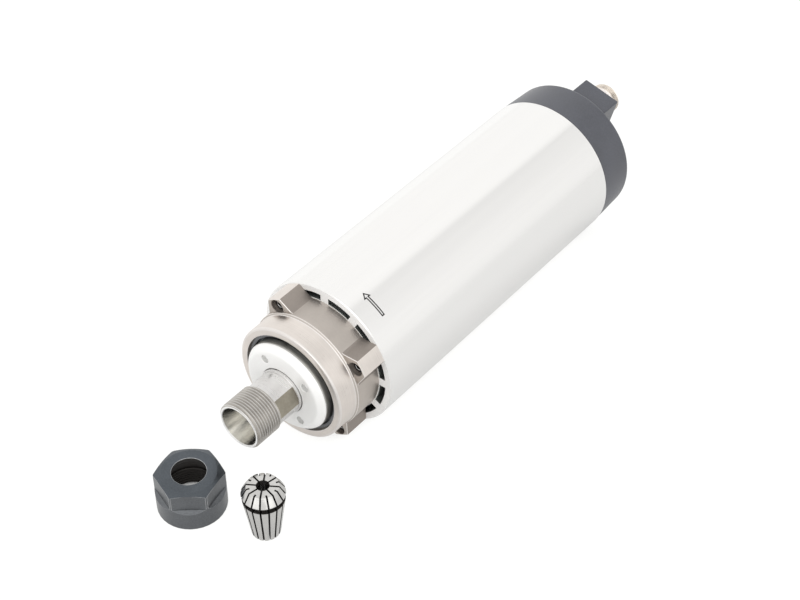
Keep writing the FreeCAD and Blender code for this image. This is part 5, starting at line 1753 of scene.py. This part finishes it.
def connector_shell():
    """The flange, the threaded barrel and the neck that goes through the box."""
    angles = circle(PLUG_COLUMNS)
    root = PLUG_RADIUS - PLUG_THREAD_DEPTH
    on_round = 0.3 * FLANGE_ROUND
    front = [
        (root, PLUG_END), (PLUG_BORE + PLUG_CHAMFER, PLUG_END),
        (PLUG_BORE, PLUG_END - PLUG_CHAMFER), (PLUG_BORE, INSERT_START),
        (PLUG_NECK_BORE, INSERT_START), (PLUG_NECK_BORE, PLUG_START),
        (PLUG_NECK, PLUG_START), (PLUG_NECK, BOX_END),
        (FLANGE_RADIUS - FLANGE_CHAMFER, BOX_END),
        (FLANGE_RADIUS, BOX_END + FLANGE_CHAMFER),
        (FLANGE_RADIUS, FLANGE_END - FLANGE_ROUND),
        (FLANGE_RADIUS - on_round, FLANGE_END - on_round),
        (FLANGE_RADIUS - FLANGE_ROUND, FLANGE_END), (root, FLANGE_END),
    ]
    mesh = bmesh.new()
    rows = [
        (round_ring(r, along, angles), 1 if r > PLUG_RADIUS else 0) for r, along in front
    ]
    add_skin(mesh, rows, plug_place)
    for start, end, number in ((FLANGE_END, COLLAR_END, 1), (COLLAR_END, PLUG_END, 0)):
        rows = thread_rows(
            PLUG_RADIUS, root, start, end, PLUG_PITCH, PLUG_COLUMNS, (number, number)
        )
        add_skin(mesh, rows, plug_place, wrap=False)
    return closed_object(
        "connector_barrel", mesh, MATERIALS["connector_metal"], PALE_FLANGE
    )


hand_over(connector_shell(), "connector_shell")

# %% [markdown]
# ## The arrow on the sleeve
#
# A plain outlined arrow on the sleeve shows which way the spindle turns. It could
# be a mask in the sleeve's material, but such an edge blurs when it is baked. So it
# is a thin band of ink that follows the curve of the sleeve: the outline and a
# second outline inside it, with the ring between them filled.

# %% Finish of the print
PRINT_INK = finish(
    "dark_print", (0.012, 0.011, 0.011), 0.6, grain(3000.0), metallic=0.0, bump=0.0,
)
print(PRINT_INK.name)

# %% The arrow
ARROW_MIDDLE = 12.25
ARROW_TIP = 71.2
ARROW_NECK = 66.4
ARROW_TAIL = 50.1
ARROW_HEAD_HALF = 2.35
ARROW_SHAFT_HALF = 0.95
INK_WIDTH = 0.62
INK_LOW = -0.08
INK_HIGH = 0.03
ARROW_HEAD_STEPS = 4
ARROW_SHAFT_STEPS = 8


def arrow_outline(inset):
    """The arrow's corners as (arc length, place along), moved inwards by an inset."""
    length = math.radians(1) * SLEEVE_RADIUS
    tip = ARROW_TIP * length
    neck = ARROW_NECK * length
    tail = ARROW_TAIL * length
    slope = math.hypot(tip - neck, ARROW_HEAD_HALF) / ARROW_HEAD_HALF
    lean = (tip - neck) / ARROW_HEAD_HALF
    barb = ARROW_HEAD_HALF - inset * (slope + 1) / lean
    half = ARROW_SHAFT_HALF - inset
    tip -= inset * slope
    neck += inset
    one_side = [
        (tip + (neck - tip) * k / ARROW_HEAD_STEPS, barb * k / ARROW_HEAD_STEPS)
        for k in range(ARROW_HEAD_STEPS + 1)
    ] + [(neck, half)]
    shaft_side = spread_out(neck, tail + inset, ARROW_SHAFT_STEPS)[1:]
    one_side += [(arc, half) for arc in shaft_side]
    return one_side + [(arc, -across) for arc, across in reversed(one_side[1:])]


def arrow():
    """The arrow as a thin closed band on the sleeve."""
    mesh = bmesh.new()

    def row(inset, rise):
        ring = [
            (SLEEVE_RADIUS + rise, arc / SLEEVE_RADIUS, ARROW_MIDDLE + across)
            for arc, across in arrow_outline(inset)
        ]
        return ring, 0

    rows = [
        row(0.0, INK_LOW), row(0.0, INK_HIGH), row(INK_WIDTH, INK_HIGH),
        row(INK_WIDTH, INK_LOW),
    ]
    add_skin(mesh, rows + rows[:1], about_spindle)
    return closed_object("turning_arrow", mesh, PRINT_INK)


ink = arrow()
ink.data.shade_flat()
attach(ink, BODY_OF_NODE["outer_sleeve"])
print("arrow", len(ink.data.polygons), "faces")

# %% [markdown]
# ## The white table
#
# The photo is a packshot: the ground is pure white, with hardly a shadow. A table
# that only reflects light would need so much of it that the metal burns out. A
# table that only glows would take no shadow at all. This one does both: it is white
# paper, and for the camera and in mirror reflections part of its colour is its own
# light. In reflections that light falls off from left to right. It fades in closed
# places, such as the bore of the nut, which the node for ambient occlusion finds.

# %% Table
TABLE_HEIGHT = solid_box[0][2]
TABLE_HALF = 3.0
PAPER_COLOUR = (0.86, 0.86, 0.86, 1.0)
GLOW_COLOUR = (1.0, 1.0, 0.99, 1.0)
GLOW_FOR_CAMERA = 1.1
GLOW_SHARE_FOR_CAMERA = 0.85
GLOW_SHARE_IN_MIRRORS = 0.6
CLOSED_WITHIN = 0.03
# A gradient is (where it starts, where it ends, level at its start, level at its end).
GLOW_ACROSS = (-0.25, 0.05, 1.05, 0.76)
OPEN_ENOUGH = (0.05, 0.22, 0.0, 1.0)


def table_paper():
    """White paper that glows a little for the camera and in mirrors."""
    material = bpy.data.materials.new("white_table")
    tree = empty_tree(material)
    paper = add(tree, "ShaderNodeBsdfDiffuse", {"Color": PAPER_COLOUR})
    path = tree.nodes.new("ShaderNodeLightPath").outputs
    place = tree.nodes.new("ShaderNodeTexCoord").outputs["Object"]
    across = add(tree, "ShaderNodeSeparateXYZ", {"Vector": place}).outputs["X"]
    in_mirrors = remap(tree, across, *GLOW_ACROSS, smooth=True)
    glow = add(tree, "ShaderNodeEmission", {
        "Color": GLOW_COLOUR,
        "Strength": blend(tree, "FLOAT", path["Is Camera Ray"], in_mirrors, GLOW_FOR_CAMERA),
    })
    openness = add(tree, "ShaderNodeAmbientOcclusion", {"Distance": CLOSED_WITHIN}, samples=8)
    in_the_open = remap(tree, openness.outputs["AO"], *OPEN_ENOUGH)
    seen_share = maths(tree, "MULTIPLY", in_the_open, GLOW_SHARE_FOR_CAMERA)
    by_camera = maths(tree, "MULTIPLY", path["Is Camera Ray"], seen_share)
    mirrored = maths(tree, "MAXIMUM", path["Is Glossy Ray"], path["Is Transmission Ray"])
    by_mirror = maths(tree, "MULTIPLY", mirrored, GLOW_SHARE_IN_MIRRORS)
    share = maths(tree, "MAXIMUM", by_camera, by_mirror)
    end_with_mix(tree, "ShaderNodeOutputMaterial", share, paper, glow)
    return material


table_mesh = bpy.data.meshes.new("table")
table_mesh.from_pydata(
    [
        (side_x * TABLE_HALF, side_y * TABLE_HALF, TABLE_HEIGHT)
        for side_x, side_y in ((-1, -1), (1, -1), (1, 1), (-1, 1))
    ],
    [], [(0, 1, 2, 3)],
)
table_mesh.materials.append(table_paper())
in_scene("table", table_mesh)
print("table at", round(TABLE_HEIGHT, 4))

# %% [markdown]
# ## The light tent
#
# Polished metal shows what stands round it, so the light is mostly a matter of
# walls. They could be built from large glowing planes. A world shader does the same
# without objects that might be seen. The world is white to the camera. To everything
# else it is a tent: a bright wall on the left, a slightly darker one on the right,
# and an edge between the two that shows as a fine line along the sleeve. A brighter
# panel hangs in front, with a dimmer middle where the camera stands.

# %% World
TENT_COLOUR = (1.0, 0.995, 0.985, 1.0)
WHITE = (1.0, 1.0, 1.0, 1.0)
FRONT = (0.62, -0.78, 0.1)
EDGE_TILT = 0.176
EDGE_MIDDLE = 0.02
EDGE_LINE = (0.0, 0.06, 0.88, 1.0)
LEFT_TO_RIGHT = (-0.03, 0.03, 1.0, 0.0)
LEFT_WALL = 1.02
RIGHT_WALL = (0.1, 0.8, 0.84, 0.97)
LOW_WALLS = (-0.3, 0.1, 0.75, 1.0)
FRONT_PANEL = (0.35, 0.8, 0.0, 0.6)
PANEL_MIDDLE = (0.93, 0.985, 0.0, 0.55)


def tent_level(tree, direction):
    """How bright the tent is in a direction."""
    x, _, z = add(tree, "ShaderNodeSeparateXYZ", {"Vector": direction}).outputs
    beside = maths(tree, "SUBTRACT", x, maths(tree, "MULTIPLY", z, EDGE_TILT))
    on_left = remap(tree, beside, *LEFT_TO_RIGHT, smooth=True)
    walls = blend(tree, "FLOAT", on_left, remap(tree, x, *RIGHT_WALL), LEFT_WALL)
    off_edge = maths(tree, "ABSOLUTE", maths(tree, "SUBTRACT", beside, EDGE_MIDDLE))
    edge_line = remap(tree, off_edge, *EDGE_LINE, smooth=True)
    low_level = remap(tree, z, *LOW_WALLS)
    walls = maths(tree, "MULTIPLY", maths(tree, "MULTIPLY", walls, low_level), edge_line)
    towards_front = add(tree, "ShaderNodeVectorMath", {0: direction, 1: FRONT},
                        operation="DOT_PRODUCT").outputs["Value"]
    panel = remap(tree, towards_front, *FRONT_PANEL, smooth=True)
    dimmer = remap(tree, towards_front, *PANEL_MIDDLE, smooth=True)
    return maths(tree, "ADD", walls, maths(tree, "SUBTRACT", panel, dimmer))


world = bpy.data.worlds.new("white_tent")
bpy.context.scene.world = world
tree = empty_tree(world)
direction = tree.nodes.new("ShaderNodeTexCoord").outputs["Generated"]
tent = add(tree, "ShaderNodeBackground", {
    "Color": TENT_COLOUR, "Strength": tent_level(tree, direction),
})
white = add(tree, "ShaderNodeBackground", {"Color": WHITE, "Strength": 1.0})
seen = tree.nodes.new("ShaderNodeLightPath").outputs["Is Camera Ray"]
end_with_mix(tree, "ShaderNodeOutputWorld", seen, tent, white)
print("world", world.name, "with", len(tree.nodes), "nodes")

# %% [markdown]
# ## One soft lamp
#
# A tent alone gives a flat picture. One large area lamp from the upper left adds a
# little direction, and a faint shadow on the table. It is kept out of mirror
# reflections, where its square would show on the sleeve.

# %% Lamp
LAMP_PLACE = Vector((-1.3, 1.1, 1.9))
LAMP_TARGET = Vector((0.0, 0.05, 0.0))
lamp_data = bpy.data.lights.new("upper_left_lamp", "AREA")
lamp_data.shape = "SQUARE"
lamp_data.size = 1.5
lamp_data.energy = 10.0
lamp = in_scene("upper_left_lamp", lamp_data)
lamp.location = LAMP_PLACE
lamp.rotation_euler = (LAMP_TARGET - LAMP_PLACE).to_track_quat("-Z", "Y").to_euler()
lamp.visible_glossy = False
bpy.context.scene.view_settings.view_transform = "Standard"
print("lamp", round((LAMP_TARGET - LAMP_PLACE).length, 2), "m away,", lamp_data.energy, "W")

# %% [markdown]
# ## The last update
#
# The last cell updates the view layer, and ends the script. The visual model has
# to lie within the solids' box.

# %% Last update
bpy.context.view_layer.update()
